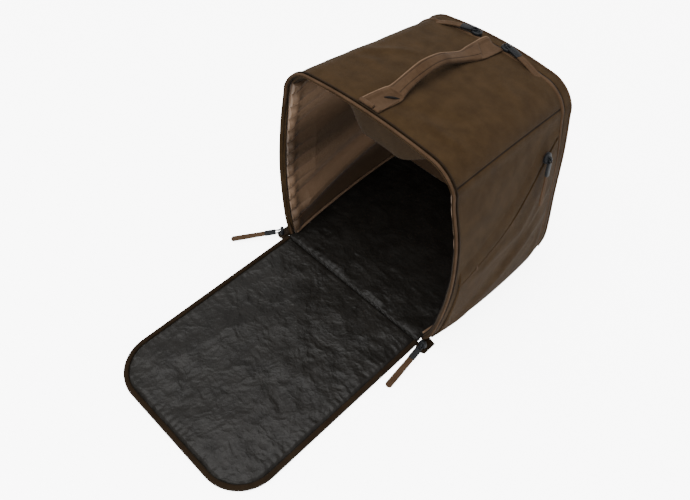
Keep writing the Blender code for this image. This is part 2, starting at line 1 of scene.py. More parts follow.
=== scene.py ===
"""Ski boot bag: fabric, satin lining, tarpaulin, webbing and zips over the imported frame."""

import functools
import itertools
import json
import math

import bmesh
import bpy
import numpy as np
from mathutils import Matrix, Vector


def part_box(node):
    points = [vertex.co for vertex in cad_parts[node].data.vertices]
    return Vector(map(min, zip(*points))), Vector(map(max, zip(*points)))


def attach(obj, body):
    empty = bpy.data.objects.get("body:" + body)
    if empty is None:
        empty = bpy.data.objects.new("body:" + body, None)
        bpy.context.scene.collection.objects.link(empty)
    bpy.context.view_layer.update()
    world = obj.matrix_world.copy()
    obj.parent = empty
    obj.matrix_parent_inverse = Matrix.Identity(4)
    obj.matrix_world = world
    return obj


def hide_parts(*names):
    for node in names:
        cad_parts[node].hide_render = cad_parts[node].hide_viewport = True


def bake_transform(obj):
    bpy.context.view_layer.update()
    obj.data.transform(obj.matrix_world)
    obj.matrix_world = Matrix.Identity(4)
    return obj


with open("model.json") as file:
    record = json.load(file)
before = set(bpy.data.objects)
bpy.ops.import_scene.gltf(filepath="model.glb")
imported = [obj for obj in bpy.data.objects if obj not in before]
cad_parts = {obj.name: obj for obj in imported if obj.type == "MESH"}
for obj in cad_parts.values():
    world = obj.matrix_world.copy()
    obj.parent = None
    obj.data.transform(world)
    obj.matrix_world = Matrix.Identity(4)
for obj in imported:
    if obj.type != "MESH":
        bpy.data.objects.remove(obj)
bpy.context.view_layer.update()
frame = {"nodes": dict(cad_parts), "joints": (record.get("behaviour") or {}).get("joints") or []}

# ---------------------------------------------------------------- the frame's places, in metres

FRONT = -0.150
BACK = 0.150
DEPTH = BACK - FRONT

# The outline across the bag: half widths at these parts of the shoulder's height, given at the
# mouth, half way back and at the back.
SIDE_HEIGHTS = (0.0, 0.15, 0.48, 0.78, 1.0)
LEFT_WIDTHS = (
    (0.150, 0.163, 0.164),
    (0.162, 0.171, 0.168),
    (0.168, 0.172, 0.158),
    (0.161, 0.158, 0.150),
    (0.150, 0.142, 0.142),
)
RIGHT_WIDTHS = (
    (0.154, 0.170, 0.169),
    (0.170, 0.180, 0.172),
    (0.180, 0.182, 0.161),
    (0.174, 0.169, 0.152),
    (0.157, 0.150, 0.142),
)
CREST_HEIGHTS = (0.374, 0.360, 0.338)
CORNER_RADIUS = 0.055
CROWN = 0.006
LEFT_SEAM = 1.07
RIGHT_SEAM = 1.93

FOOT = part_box("left_side_panel")[0].z
PANEL_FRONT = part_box("top_panel")[0].y
PANEL_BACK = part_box("top_panel")[1].y
FLOOR_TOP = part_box("floor_liner")[1].z
BASE_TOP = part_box("base_panel")[1].z
PANEL_THICKNESS = 0.0030
LINING_INSET = PANEL_THICKNESS + 0.0003
LINING_THICKNESS = 0.0042
LINING_FACE = -LINING_INSET - LINING_THICKNESS
FOLD_SLANT = 0.22  # how fast the lining's folds rise towards the back

MOUTH_HALF_WIDTH = 0.150
MOUTH_HEIGHT = 0.364
MOUTH_RADIUS = 0.060
# Where the piping and the tape behind it run round the rim, along y.
RIM_PIPING = -0.1433
RIM_TAPE = -0.1424
TEETH_WIDTH = 0.0035

MAT_HALF_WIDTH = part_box("front_panel_zip_teeth")[1].x
MAT_LENGTH = 0.370
MAT_RADIUS = 0.066
MAT_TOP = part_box("front_panel_mat")[1].z
MAT_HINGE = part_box("front_panel_mat")[1].y + 0.0010

POCKET_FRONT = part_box("right_pocket_panel")[0].y
POCKET_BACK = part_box("right_pocket_panel")[1].y
POCKET_LIFT = 0.0010
POCKET_THICKNESS = 0.0024
POCKET_COVER = 0.0340  # width of the cloth over the pocket's zip
POCKET_FRONT_HEIGHT = 0.168
POCKET_BACK_HEIGHT = 0.268

HANDLE_FRONT = FRONT + 0.034
HANDLE_BACK = FRONT + 0.250
HANDLE_PIVOT_HEIGHT = 0.0070
# Along the handle: distance from its front pivot, the left edge's x and height above the crest,
# then the right edge's.
HANDLE_EDGES = (
    (-0.0200, -0.0165, 0.0014, 0.0175, 0.0014),
    (-0.0080, -0.0160, 0.0020, 0.0182, 0.0014),
    (0.0080, -0.0145, 0.0022, 0.0196, 0.0014),
    (0.0220, -0.0125, 0.0026, 0.0200, 0.0016),
    (0.0320, -0.0095, 0.0040, 0.0176, 0.0054),
    (0.0440, -0.0075, 0.0095, 0.0155, 0.0082),
    (0.0600, -0.0060, 0.0170, 0.0140, 0.0115),
    (0.0800, -0.0045, 0.0246, 0.0135, 0.0156),
    (0.1000, -0.0035, 0.0254, 0.0135, 0.0180),
    (0.1200, -0.0035, 0.0226, 0.0135, 0.0160),
    (0.1400, -0.0040, 0.0160, 0.0140, 0.0105),
    (0.1570, -0.0040, 0.0106, 0.0145, 0.0060),
    (0.1720, -0.0045, 0.0074, 0.0170, 0.0034),
    (0.1860, -0.0062, 0.0080, 0.0212, 0.0018),
    (0.2000, -0.0078, 0.0076, 0.0236, 0.0014),
    (0.2150, -0.0090, 0.0074, 0.0242, 0.0014),
    (0.2280, -0.0080, 0.0094, 0.0242, 0.0014),
    (0.2360, -0.0060, 0.0090, 0.0242, 0.0014),
    (0.2410, -0.0040, 0.0030, 0.0242, 0.0014),
)
GRIP_STEP_FRONT = 0.0260
GRIP_STEP_REAR = 0.2030
PULL_DROOP = {"rear": 0.0090, "left": 0.0, "right": 0.0, "mouth": 0.0}

TOOTH_PITCH = 0.0022
BLOCK_TAPER = 0.8  # the top of a tooth or stitch against its foot

# ---------------------------------------------------------------- outline of the bag


def between(values, part):
    """A smooth value along the bag, from its values at the mouth, half way and the back."""
    front, middle, back = values
    return (
        front * (1 - part) * (1 - 2 * part)
        + middle * 4 * part * (1 - part)
        + back * part * (2 * part - 1)
    )


def smooth(points, steps):
    """A Catmull-Rom curve through the points, with each point at a multiple of steps."""
    points = np.asarray(points, float)
    padded = np.vstack([2 * points[0] - points[1], points, 2 * points[-1] - points[-2]])
    t = (np.arange(steps) / steps)[:, None]
    curve = []
    for a, b, c, d in zip(padded, padded[1:], padded[2:], padded[3:]):
        bend = (2 * a - 5 * b + 4 * c - d) * t**2 + (3 * b - a - 3 * c + d) * t**3
        curve.append(0.5 * (2 * b + (c - a) * t + bend))
    return np.vstack(curve + [points[-1:]])


def arc(centre, radius, angles):
    return [(centre[0] + radius * math.cos(a), centre[1] + radius * math.sin(a)) for a in angles]


def half_rib(widths, part):
    """One side of the outline going up, round its corner and towards the middle of the top."""
    top = between(CREST_HEIGHTS, part)
    shoulder = top - CROWN - CORNER_RADIUS
    heights = [FOOT + (shoulder - FOOT) * height for height in SIDE_HEIGHTS]
    side = [(between(width, part), z) for width, z in zip(widths, heights)]
    centre = (side[-1][0] - CORNER_RADIUS, shoulder)
    corner = arc(centre, CORNER_RADIUS, [math.radians(22.5 * n) for n in (1, 2, 3, 4)])
    return side + corner + [(centre[0] / 2, top - CROWN / 4)]


def measured(run):
    """A run of the outline with its outward normals and the distance along it."""
    distance = np.concatenate([[0], np.cumsum(np.hypot(*np.diff(run, axis=0).T))])
    tangent = np.gradient(run, distance, axis=0)
    tangent /= np.linalg.norm(tangent, axis=1)[:, None]
    return run, np.stack([-tangent[:, 1], tangent[:, 0]], axis=1), distance


@functools.lru_cache(maxsize=None)
def rib(y):
    """The outline at y in three runs: left side going up, top, right side going down."""
    part = (y - FRONT) / DEPTH
    left = [(-x, z) for x, z in half_rib(LEFT_WIDTHS, part)]
    right = half_rib(RIGHT_WIDTHS, part)[::-1]
    steps = 16
    curve = smooth(left + [(0.0, between(CREST_HEIGHTS, part))] + right, steps)
    side = (len(SIDE_HEIGHTS) - 1) * steps
    runs = (curve[: side + 1], curve[side : len(curve) - side], curve[len(curve) - side - 1 :])
    return [measured(run) for run in runs]


@functools.lru_cache(maxsize=None)
def mouth_arch():
    """The mouth's own arch, with straight sides and round top corners, in the same three runs."""
    shoulder = MOUTH_HEIGHT - MOUTH_RADIUS
    centre = (MOUTH_HALF_WIDTH - MOUTH_RADIUS, shoulder)
    right = arc(centre, MOUTH_RADIUS, [math.radians(90 * n / 24) for n in range(25)])
    left = [(-x, z) for x, z in right]
    side = np.linspace((MOUTH_HALF_WIDTH, FOOT), (MOUTH_HALF_WIDTH, shoulder), 20)
    return [measured(run) for run in (side * (-1, 1), np.array(left + right[::-1]), side[::-1])]


def along(runs, us, lift=0.0):
    """Points (x, z) at the places us, where each run counts 1, moved outwards by lift."""
    us = np.asarray(us, float)
    lift = np.broadcast_to(lift, us.shape)
    index = np.clip(us.astype(int), 0, 2)
    found = np.zeros((len(us), 2))
    for run, (points, normals, distance) in enumerate(runs):
        here = index == run
        places = (us[here] - run) * distance[-1]
        for axis in (0, 1):
            point = np.interp(places, distance, points[:, axis])
            found[here, axis] = point + np.interp(places, distance, normals[:, axis]) * lift[here]
    return found


def standing(flat, y):
    """Points (x, z) as 3-D points at y, which is one number or one for each point."""
    return np.stack([flat[:, 0], np.broadcast_to(y, len(flat)), flat[:, 1]], axis=1)


def skin(us, y, lift=0.0):
    """Points of the bag's outer surface at y, moved outwards by lift."""
    return standing(along(rib(float(y)), us, lift), y)


def surface(ys, places, lift):
    """A grid of points: one row for each y, at places(y), lifted by lift(us, y)."""
    return np.array([skin(places(y), y, lift(places(y), y)) for y in ys])


def height_to_u(side, height, y):
    """The place on the left (-1) or right (+1) side that is at this height."""
    points = rib(float(y))[0 if side < 0 else 2]
    heights, distance = points[0][:, 1], points[2]
    if side < 0:
        return np.interp(height, heights, distance) / distance[-1]
    return 2 + np.interp(height, heights[::-1], distance[::-1]) / distance[-1]


def crest(y):
    return between(CREST_HEIGHTS, (y - FRONT) / DEPTH)


def run_length(u, y):
    return rib(float(y))[min(int(u), 2)][2][-1]


# ---------------------------------------------------------------- noise and folds


def noise(points, scale, seed=0):
    """Smooth noise from -1 to 1. scale is its size in metres, one number or three."""
    places = np.asarray(points, float) / np.asarray(scale, float) + 31.7 * seed
    cell = np.floor(places).astype(np.int64)
    t = places - cell
    t = t * t * t * (t * (t * 6 - 15) + 10)
    total = 0.0
    for corner in itertools.product((0, 1), repeat=3):
        x, y, z = np.moveaxis(cell + corner, -1, 0)
        mixed = (x * 73856093) ^ (y * 19349663) ^ (z * 83492791)
        mixed = ((mixed ^ (mixed >> 13)) * 1274126177) & 0xFFFFFFFF
        mixed = ((mixed ^ (mixed >> 16)) * 2246822519) & 0xFFFFFFFF
        weight = np.prod(np.where(corner, t, 1 - t), axis=-1)
        total = total + weight * (mixed / 0xFFFFFFFF)
    return total * 2 - 1


def crinkle(points, scale, seed=0):
    """Sharp-edged crumples, as in stiff coated cloth, from about -1 to 1."""
    points = np.asarray(points, float)
    warp = np.stack([noise(points, scale * 1.7, seed + n) for n in (1, 2, 3)], axis=-1)
    bent = points + warp * scale * 0.6
    total = 0.0
    for level, share in enumerate((0.55, 0.28, 0.17)):
        total = total + share * (1 - 2.6 * np.abs(noise(bent, scale / 2.1**level, seed + 5 + level)))
    return total


def near_path(a, b, path):
    """The distance from each place (a, b) to a polyline, and how far along it the foot lies."""
    places = np.stack([np.asarray(a, float), np.asarray(b, float)], axis=-1)
    path = np.asarray(path, float)
    best, share = np.full(places.shape[:-1], 1e9), np.zeros(places.shape[:-1])
    for index, (start, end) in enumerate(zip(path, path[1:])):
        span = end - start
        t = np.clip(((places - start) @ span) / (span @ span), 0, 1)
        distance = np.linalg.norm(places - start - t[..., None] * span, axis=-1)
        closer = distance < best
        best = np.where(closer, distance, best)
        share = np.where(closer, (index + t) / (len(path) - 1), share)
    return best, share


def ridge(a, b, path, width, height):
    """A fold along a path, highest in the middle and fading to nothing at both ends."""
    distance, share = near_path(a, b, path)
    fade = np.sqrt(np.clip(np.sin(np.pi * np.clip(share, 0.02, 0.98)), 0, 1))
    return height * fade * np.exp(-((distance / width) ** 2))


def rolled(distance, radius):
    """How far a panel's edge turns down, from radius at the edge itself to 0."""
    part = np.clip(1 - np.asarray(distance) / radius, 0, 1)
    return radius * (1 - np.sqrt(np.clip(1 - part**2, 0, 1)))


def spaced(start, stop, step, fine=(0.0004, 0.0010, 0.0020, 0.0034)):
    """Places from start to stop, closer together towards both ends."""
    count = max(2, int(abs(stop - start) / step))
    inner = np.linspace(start, stop, count + 1)
    sign = 1 if stop > start else -1
    extra = [start + sign * f for f in fine] + [stop - sign * f for f in fine]
    return np.array(sorted(set(np.round(np.concatenate([inner, extra]), 7)), reverse=sign < 0))


# ---------------------------------------------------------------- meshes


def piece(name, points, faces, material, body=None, uv=None, flat=False):
    """A mesh object with its material. uv is in metres, one pair for each point."""
    mesh = bpy.data.meshes.new(name)
    mesh.from_pydata([tuple(p) for p in np.asarray(points)], [], faces)
    mesh.validate()
    if uv is not None:
        layer = mesh.uv_layers.new(name="cloth")
        corners = np.zeros(len(mesh.loops), np.int32)
        mesh.loops.foreach_get("vertex_index", corners)
        layer.data.foreach_set("uv", np.asarray(uv, np.float32)[corners].ravel())
    mesh.materials.append(material)
    if not flat:
        mesh.shade_smooth()
    work = bmesh.new()
    work.from_mesh(mesh)
    bmesh.ops.recalc_face_normals(work, faces=work.faces)
    work.to_mesh(mesh)
    work.free()
    obj = bpy.data.objects.new(name, mesh)
    bpy.context.scene.collection.objects.link(obj)
    if body:
        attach(obj, body)
    return obj


def grid_faces(rows, columns, offset=0, around=False):
    faces = []
    for row in range(rows - 1):
        for column in range(columns if around else columns - 1):
            after = (column + 1) % columns
            here, above = offset + row * columns, offset + (row + 1) * columns
            faces.append([here + column, here + after, above + after, above + column])
    return faces


def travelled(points):
    """The distance along a row of points, from 0 at the first."""
    return np.concatenate([[0], np.cumsum(np.linalg.norm(np.diff(points, axis=0), axis=1))])


def cloth(name, outer, inner, material, body=None):
    """A closed sheet between two grids of points, with uv measured along its rows and columns."""
    outer, inner = np.asarray(outer), np.asarray(inner)
    rows, columns = outer.shape[:2]
    count = rows * columns
    faces = grid_faces(rows, columns) + grid_faces(rows, columns, count)
    edge = [(0, c) for c in range(columns)] + [(r, columns - 1) for r in range(1, rows)]
    edge += [(rows - 1, c) for c in range(columns - 2, -1, -1)] + [(r, 0) for r in range(rows - 2, 0, -1)]
    rim = [row * columns + column for row, column in edge]
    faces += [[a, a + count, b + count, b] for a, b in zip(rim, rim[1:] + rim[:1])]
    across = np.linalg.norm(np.diff(outer, axis=1), axis=2).mean(axis=0)
    lengthwise = np.linalg.norm(np.diff(outer, axis=0), axis=2).mean(axis=1)
    u, v = np.meshgrid(np.concatenate([[0], np.cumsum(across)]), np.concatenate([[0], np.cumsum(lengthwise)]))
    uv = np.stack([u.ravel(), v.ravel()], axis=1)
    points = np.vstack([outer.reshape(-1, 3), inner.reshape(-1, 3)])
    return piece(name, points, faces, material, body, np.vstack([uv, uv]))


def rod(name, rows, material, body=None):
    """A closed tube through rows of points, each row going once round it."""
    rows = np.asarray(rows)
    count, around = rows.shape[:2]
    faces = grid_faces(count, around, around=True)
    faces += [list(range(around)), list(range((count - 1) * around, count * around))]
    u, v = np.meshgrid(travelled(rows[0]), travelled(rows.mean(axis=1)))
    uv = np.stack([u.ravel(), v.ravel()], axis=1)
    return piece(name, rows.reshape(-1, 3), faces, material, body, uv)


def at_height(points, z):
    """The same points, all at this height."""
    moved = points.copy()
    moved[..., 2] = z
    return moved


def superellipse(half_width, half_height, power=4.0, count=20):
    """A rounded box outline, as (across, up)."""
    angles = np.arange(count) * 2 * math.pi / count
    c, s = np.cos(angles), np.sin(angles)
    shape = 2 / power
    return np.stack(
        [half_width * np.sign(c) * np.abs(c) ** shape, half_height * np.sign(s) * np.abs(s) ** shape], axis=1
    )


def moving_frame(path, up):
    """Tangent, across and up for each point of a path; up is a direction, or one for each point."""
    path = np.asarray(path, float)
    tangent = np.gradient(path, axis=0)
    tangent /= np.linalg.norm(tangent, axis=1)[:, None]
    across = np.cross(np.broadcast_to(up, path.shape), tangent)
    across /= np.linalg.norm(across, axis=1)[:, None]
    return tangent, across, np.cross(tangent, across)


def sweep(name, path, up, outline, material, body=None):
    """An outline (across, up) carried along a path."""
    path = np.asarray(path, float)
    across, lift = moving_frame(path, up)[1:]
    rows = [
        point + np.outer(outline[:, 0], a) + np.outer(outline[:, 1], b)
        for point, a, b in zip(path, across, lift)
    ]
    return rod(name, rows, material, body)


def even_path(points, step):
    """A polyline's points again, evenly spaced."""
    points = np.asarray(points, float)
    distance = travelled(points)
    places = np.linspace(0, distance[-1], max(2, int(round(distance[-1] / step)) + 1))
    return np.stack([np.interp(places, distance, points[:, axis]) for axis in range(3)], axis=1)


def many(name, path, up, size, material, body, pitch):
    """Small tapered blocks, such as zip teeth or stitches, one at every pitch along a path."""
    path = even_path(path, pitch)
    corners = np.array(list(itertools.product((-0.5, 0.5), repeat=3))) * size
    corners[corners[:, 2] > 0, :2] *= BLOCK_TAPER
    quads = ((0, 1, 3, 2), (4, 6, 7, 5), (0, 4, 5, 1), (2, 3, 7, 6), (0, 2, 6, 4), (1, 5, 7, 3))
    points, faces = [], []
    for point, *axes in zip(path, *moving_frame(path, up)):
        faces += [[len(points) + corner for corner in quad] for quad in quads]
        points += list(point + corners @ np.array(axes))
    return piece(name, points, faces, material, body, flat=True)


# ---------------------------------------------------------------- materials


def node(tree, kind, **values):
    made = tree.nodes.new(kind)
    for key, value in values.items():
        if key in made.inputs:
            made.inputs[key].default_value = value
        else:
            setattr(made, key, value)
    return made


def new_material(name, roughness, sheen=0.0, specular=0.5):
    material = bpy.data.materials.new(name)
    material.use_nodes = True
    shader = material.node_tree.nodes["Principled BSDF"]
    shader.inputs["Roughness"].default_value = roughness
    shader.inputs["Sheen Weight"].default_value = sheen
    shader.inputs["Sheen Roughness"].default_value = 0.45
    shader.inputs["Specular IOR Level"].default_value = specular
    return material, material.node_tree, shader


def raised(tree, shader, height, strength, distance):
    """Bumps on a shader from a height."""
    bump = node(tree, "ShaderNodeBump", Strength=strength, Distance=distance)
    tree.links.new(height, bump.inputs["Height"])
    tree.links.new(bump.outputs["Normal"], shader.inputs["Normal"])


def mixture(tree, share, first, second):
    """Two values, with this share of the second."""
    made = node(tree, "ShaderNodeMix", data_type="FLOAT")
    made.inputs[0].default_value = share
    tree.links.new(first, made.inputs[2])
    tree.links.new(second, made.inputs[3])
    return made.outputs[0]


def two_tones(tree, shader, value, low, high, dark, light):
    """The shader's colour, dark where the value is low and light where it is high."""
    ramp = node(tree, "ShaderNodeValToRGB")
    ends = ramp.color_ramp.elements
    ends[0].position = low
    ends[1].position = high
    ends[0].color = (*dark, 1)
    ends[1].color = (*light, 1)
    tree.links.new(value, ramp.inputs["Fac"])
    tree.links.new(ramp.outputs["Color"], shader.inputs["Base Color"])


def mottled(tree, shader, dark, light, scale, place, detail=4.0, fleck=0.35):
    """Two tones of one colour, in soft patches with fine flecks."""
    patches = node(tree, "ShaderNodeTexNoise", Scale=scale, Detail=detail, Roughness=0.6)
    flecks = node(tree, "ShaderNodeTexNoise", Scale=760.0, Detail=2.0, Roughness=0.7)
    tree.links.new(place, patches.inputs["Vector"])
    tree.links.new(place, flecks.inputs["Vector"])
    mixed = mixture(tree, fleck, patches.outputs["Fac"], flecks.outputs["Fac"])
    two_tones(tree, shader, mixed, 0.36, 0.64, dark, light)


def woven(name, dark, light, roughness, thread, depth, sheen=0.02, cord=1.0, grain=0.30):
    """Cloth with crossing threads. thread is their spacing in metres, cord widens them across."""
    material, tree, shader = new_material(name, roughness, sheen, 0.05)
    place = node(tree, "ShaderNodeTexCoord")
    mottled(tree, shader, dark, light, 42.0, place.outputs["Object"])
    across = node(tree, "ShaderNodeTexWave", Scale=0.314 / thread, Distortion=0.35)
    across.bands_direction = "X"
    lengthwise = node(tree, "ShaderNodeTexWave", Scale=0.314 / (thread * cord), Distortion=0.35)
    lengthwise.bands_direction = "Y"
    for wave in (across, lengthwise):
        tree.links.new(place.outputs["UV"], wave.inputs["Vector"])
    weave = node(tree, "ShaderNodeMath", operation="MULTIPLY")
    tree.links.new(across.outputs["Fac"], weave.inputs[0])
    tree.links.new(lengthwise.outputs["Fac"], weave.inputs[1])
    fuzz = node(tree, "ShaderNodeTexNoise", Scale=900.0, Detail=3.0)
    tree.links.new(place.outputs["Object"], fuzz.inputs["Vector"])
    height = mixture(tree, grain, weave.outputs[0], fuzz.outputs["Fac"])
    raised(tree, shader, height, 0.55, depth)
    return material


def satin(name, dark, light):
    """Smooth lining cloth: painted light and shade of broad soft folds that rise towards the back, as light
    and dark bands in the colour mixed with random patches; fine creases as bumps, and a soft shine.
    """
    material, tree, shader = new_material(name, 0.46, 0.04, 0.30)
    place = node(tree, "ShaderNodeTexCoord")
    slanted = node(tree, "ShaderNodeMapping")
    slanted.inputs["Rotation"].default_value = (-math.atan(FOLD_SLANT), 0.0, 0.0)
    slanted.inputs["Scale"].default_value = (0.5, 0.3, 1.0)
    tree.links.new(place.outputs["Object"], slanted.inputs["Vector"])
    # Painted fold light and shade: wave bands across the slant make the colour lighter and darker, as lit and
    # shaded folds would look.
    folds = node(tree, "ShaderNodeTexWave", Scale=1.8, Distortion=1.1, Detail=1.0)
    folds.bands_direction = "Z"
    folds.inputs["Phase Offset"].default_value = -0.64
    patches = node(tree, "ShaderNodeTexNoise", Scale=24.0, Detail=3.0, Roughness=0.5)
    for texture in (folds, patches):
        tree.links.new(slanted.outputs["Vector"], texture.inputs["Vector"])
    painted_fold_light_and_patches = mixture(tree, 0.35, folds.outputs["Fac"], patches.outputs["Fac"])
    two_tones(tree, shader, painted_fold_light_and_patches, 0.22, 0.80, dark, light)
    creases = node(tree, "ShaderNodeTexNoise", Scale=120.0, Detail=5.0, Roughness=0.55, Distortion=0.6)
    tree.links.new(place.outputs["Object"], creases.inputs["Vector"])
    raised(tree, shader, creases.outputs["Fac"], 0.22, 0.0010)
    return material


def tarpaulin(name, dark, light):
    """Coated cloth: a slightly glossy skin with crisp crumples and scuffs."""
    material, tree, shader = new_material(name, 0.40, 0.0, 0.13)
    place = node(tree, "ShaderNodeTexCoord")
    mottled(tree, shader, dark, light, 34.0, place.outputs["Object"], 6.0, 0.2)
    fine = node(tree, "ShaderNodeTexNoise", Scale=210.0, Detail=6.0, Roughness=0.62, Distortion=0.5)
    warp = node(tree, "ShaderNodeTexNoise", Scale=16.0, Detail=4.0, Roughness=0.55)
    tree.links.new(place.outputs["Object"], fine.inputs["Vector"])
    tree.links.new(place.outputs["Object"], warp.inputs["Vector"])
    bent = node(tree, "ShaderNodeVectorMath", operation="MULTIPLY_ADD")
    bent.inputs[1].default_value = (0.075, 0.075, 0.075)
    tree.links.new(warp.outputs["Color"], bent.inputs[0])
    tree.links.new(place.outputs["Object"], bent.inputs[2])
    heights = []
    for scale, share in ((17.0, 1.0), (43.0, 0.42), (105.0, 0.17)):
        facets = node(tree, "ShaderNodeTexVoronoi", Scale=scale)
        tree.links.new(bent.outputs[0], facets.inputs["Vector"])
        part = node(tree, "ShaderNodeMath", operation="MULTIPLY")
        part.inputs[1].default_value = share
        tree.links.new(facets.outputs["Distance"], part.inputs[0])
        heights.append(part.outputs[0])
    part = node(tree, "ShaderNodeMath", operation="MULTIPLY")
    part.inputs[1].default_value = 0.10
    tree.links.new(fine.outputs["Fac"], part.inputs[0])
    heights.append(part.outputs[0])
    total = heights[0]
    for following in heights[1:]:
        add = node(tree, "ShaderNodeMath", operation="ADD")
        tree.links.new(total, add.inputs[0])
        tree.links.new(following, add.inputs[1])
        total = add.outputs[0]
    raised(tree, shader, total, 0.55, 0.0050)
    scuffs = node(tree, "ShaderNodeMapRange")
    scuffs.inputs["To Min"].default_value = 0.30
    scuffs.inputs["To Max"].default_value = 0.52
    tree.links.new(fine.outputs["Fac"], scuffs.inputs["Value"])
    tree.links.new(scuffs.outputs["Result"], shader.inputs["Roughness"])
    return material


def moulded(name, dark, light, roughness, grain=420.0, depth=0.0003):
    """Moulded plastic or painted metal with a fine satin grain."""
    material, tree, shader = new_material(name, roughness, 0.0, 0.15)
    place = node(tree, "ShaderNodeTexCoord")
    mottled(tree, shader, dark, light, 60.0, place.outputs["Object"])
    fine = node(tree, "ShaderNodeTexNoise", Scale=grain, Detail=3.0)
    tree.links.new(place.outputs["Object"], fine.inputs["Vector"])
    raised(tree, shader, fine.outputs["Fac"], 0.4, depth)
    return material


CANVAS = woven("khaki_canvas", (0.0215, 0.0118, 0.0044), (0.0330, 0.0188, 0.0077), 0.92, 0.0009, 0.00045)
WEBBING = woven(
    "brown_webbing", (0.036, 0.0200, 0.0102), (0.055, 0.0325, 0.0180), 0.86, 0.0011, 0.0007, cord=1.9
)
BINDING = woven(
    "dark_binding", (0.0085, 0.0048, 0.0022), (0.0140, 0.0085, 0.0042), 0.88, 0.0010, 0.0005, cord=1.6
)
# The lining's two tones carry the painted light and shade of its folds, mixed with random patches.
SATIN = satin("brown_satin", (0.044, 0.0260, 0.0140), (0.142, 0.088, 0.0525))
CEILING = woven("ceiling_cloth", (0.0150, 0.0088, 0.0038), (0.0220, 0.0130, 0.0060), 0.95, 0.0007, 0.0002)
TARPAULIN = tarpaulin("black_tarpaulin", (0.0050, 0.0044, 0.0036), (0.0096, 0.0086, 0.0074))
PLASTIC = moulded("black_plastic", (0.0036, 0.0040, 0.0048), (0.0072, 0.0080, 0.0094), 0.50)
COIL = moulded("zip_coil", (0.0040, 0.0030, 0.0022), (0.0075, 0.0058, 0.0042), 0.75)
THREAD = woven("thread", (0.046, 0.028, 0.017), (0.066, 0.042, 0.027), 0.8, 0.0004, 0.0002)
THREAD_DARK = woven("dark_thread", (0.0085, 0.0048, 0.0026), (0.014, 0.0085, 0.0048), 0.8, 0.0004, 0.0002)
EDGING = woven("light_edging", (0.090, 0.056, 0.034), (0.130, 0.084, 0.054), 0.84, 0.0009, 0.0005, cord=1.6)
# Black for the painted shadow inside the grip's hollow front end.
PAINTED_SLOT_SHADOW = moulded("painted_slot_shadow", (0.0022, 0.0018, 0.0014), (0.0040, 0.0034, 0.0028), 0.9)
FOAM = moulded("foam", (0.045, 0.045, 0.047), (0.060, 0.060, 0.062), 0.95, 700.0, 0.0006)

# ---------------------------------------------------------------- outer panels

# Folds in the top: their paths from above, their widths and their heights, below 0 for a hollow.
TOP_FOLDS = (
    (((-0.110, -0.045), (-0.080, -0.010), (-0.050, 0.018)), 0.010, 0.0024),
    (((-0.045, -0.060), (-0.070, -0.050), (-0.095, -0.060)), 0.009, 0.0016),
    (((0.010, -0.112), (0.050, -0.085), (0.105, -0.055)), 0.014, -0.0018),
    (((0.050, -0.100), (0.095, -0.100), (0.130, -0.092)), 0.008, 0.0014),
    (((0.040, 0.085), (0.075, 0.050), (0.115, 0.040)), 0.012, 0.0013),
)


def seam_dip(distance, width=0.0045, depth=0.0010):
    return -depth * np.exp(-((distance / width) ** 2))


def side_lift(side, us, y):
    """The soft unevenness of a side panel's outer surface."""
    shoulder = LEFT_SEAM if side < 0 else 3 - RIGHT_SEAM
    to_seam = np.abs((us if side < 0 else 3 - us) - shoulder) * run_length(0.5, y)
    to_end = min(y - PANEL_FRONT, PANEL_BACK - y)
    points = skin(us, y)
    z = points[:, 2]
    flat_y = np.full_like(z, y)
    amount = 0.0009 * noise(points, (0.09, 0.055, 0.085), 4 + side) + 0.0002 * noise(points, 0.018, 8)
    amount += ridge(flat_y, z, ((-0.090, 0.300), (-0.020, 0.285), (0.060, 0.300)), 0.014, 0.0012)
    amount -= ridge(flat_y, z, ((-0.110, 0.240), (-0.050, 0.235), (0.010, 0.262)), 0.018, 0.0014)
    away = np.clip(to_seam / 0.022, 0, 1) * np.clip(to_end / 0.018, 0, 1) * np.clip(z / 0.03, 0, 1)
    edge = rolled(to_seam, 0.0022) + rolled(to_end, 0.0024)
    return amount * away + seam_dip(to_seam) - edge


def make_top_panel():
    """The top between its two shoulder seams, with soft wrinkles and pulls at the handle's ends."""
    ys = spaced(PANEL_FRONT, PANEL_BACK, 0.0022)
    seam = 0.0010

    def places(y):
        length = run_length(1.5, y)
        return 1 + spaced((LEFT_SEAM - 1) * length + seam, (RIGHT_SEAM - 1) * length - seam, 0.0024) / length

    columns = len(places(0.0))

    def fixed_places(y):
        found = places(y)
        if len(found) == columns:
            return found
        return np.interp(np.linspace(0, 1, columns), np.linspace(0, 1, len(found)), found)

    def lift(us, y):
        length = run_length(1.5, y)
        to_seam = np.minimum(us - LEFT_SEAM, RIGHT_SEAM - us) * length - seam
        to_end = np.minimum(y - PANEL_FRONT, PANEL_BACK - y)
        points = skin(us, y)
        x = points[:, 0]
        amount = 0.0011 * noise(points, (0.075, 0.060, 0.09), 1) + 0.0004 * noise(points, 0.022, 2)
        for path, width, height in TOP_FOLDS:
            amount += ridge(x, np.full_like(x, y), path, width, height)
        away = np.clip(to_seam / 0.020, 0, 1) * min(1, to_end / 0.020)
        under_handle = np.clip((np.abs(x) - 0.014) / 0.012, 0.0, 1)
        edge = rolled(to_seam, 0.0022) + rolled(to_end, 0.0024)
        return amount * away * under_handle + seam_dip(to_seam) - edge

    outer = surface(ys, fixed_places, lift)
    inner = surface(ys, fixed_places, lambda us, y: np.full_like(us, -PANEL_THICKNESS))
    obj = cloth("top_panel_cloth", outer, inner, CANVAS, "bag")
    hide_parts("top_panel")


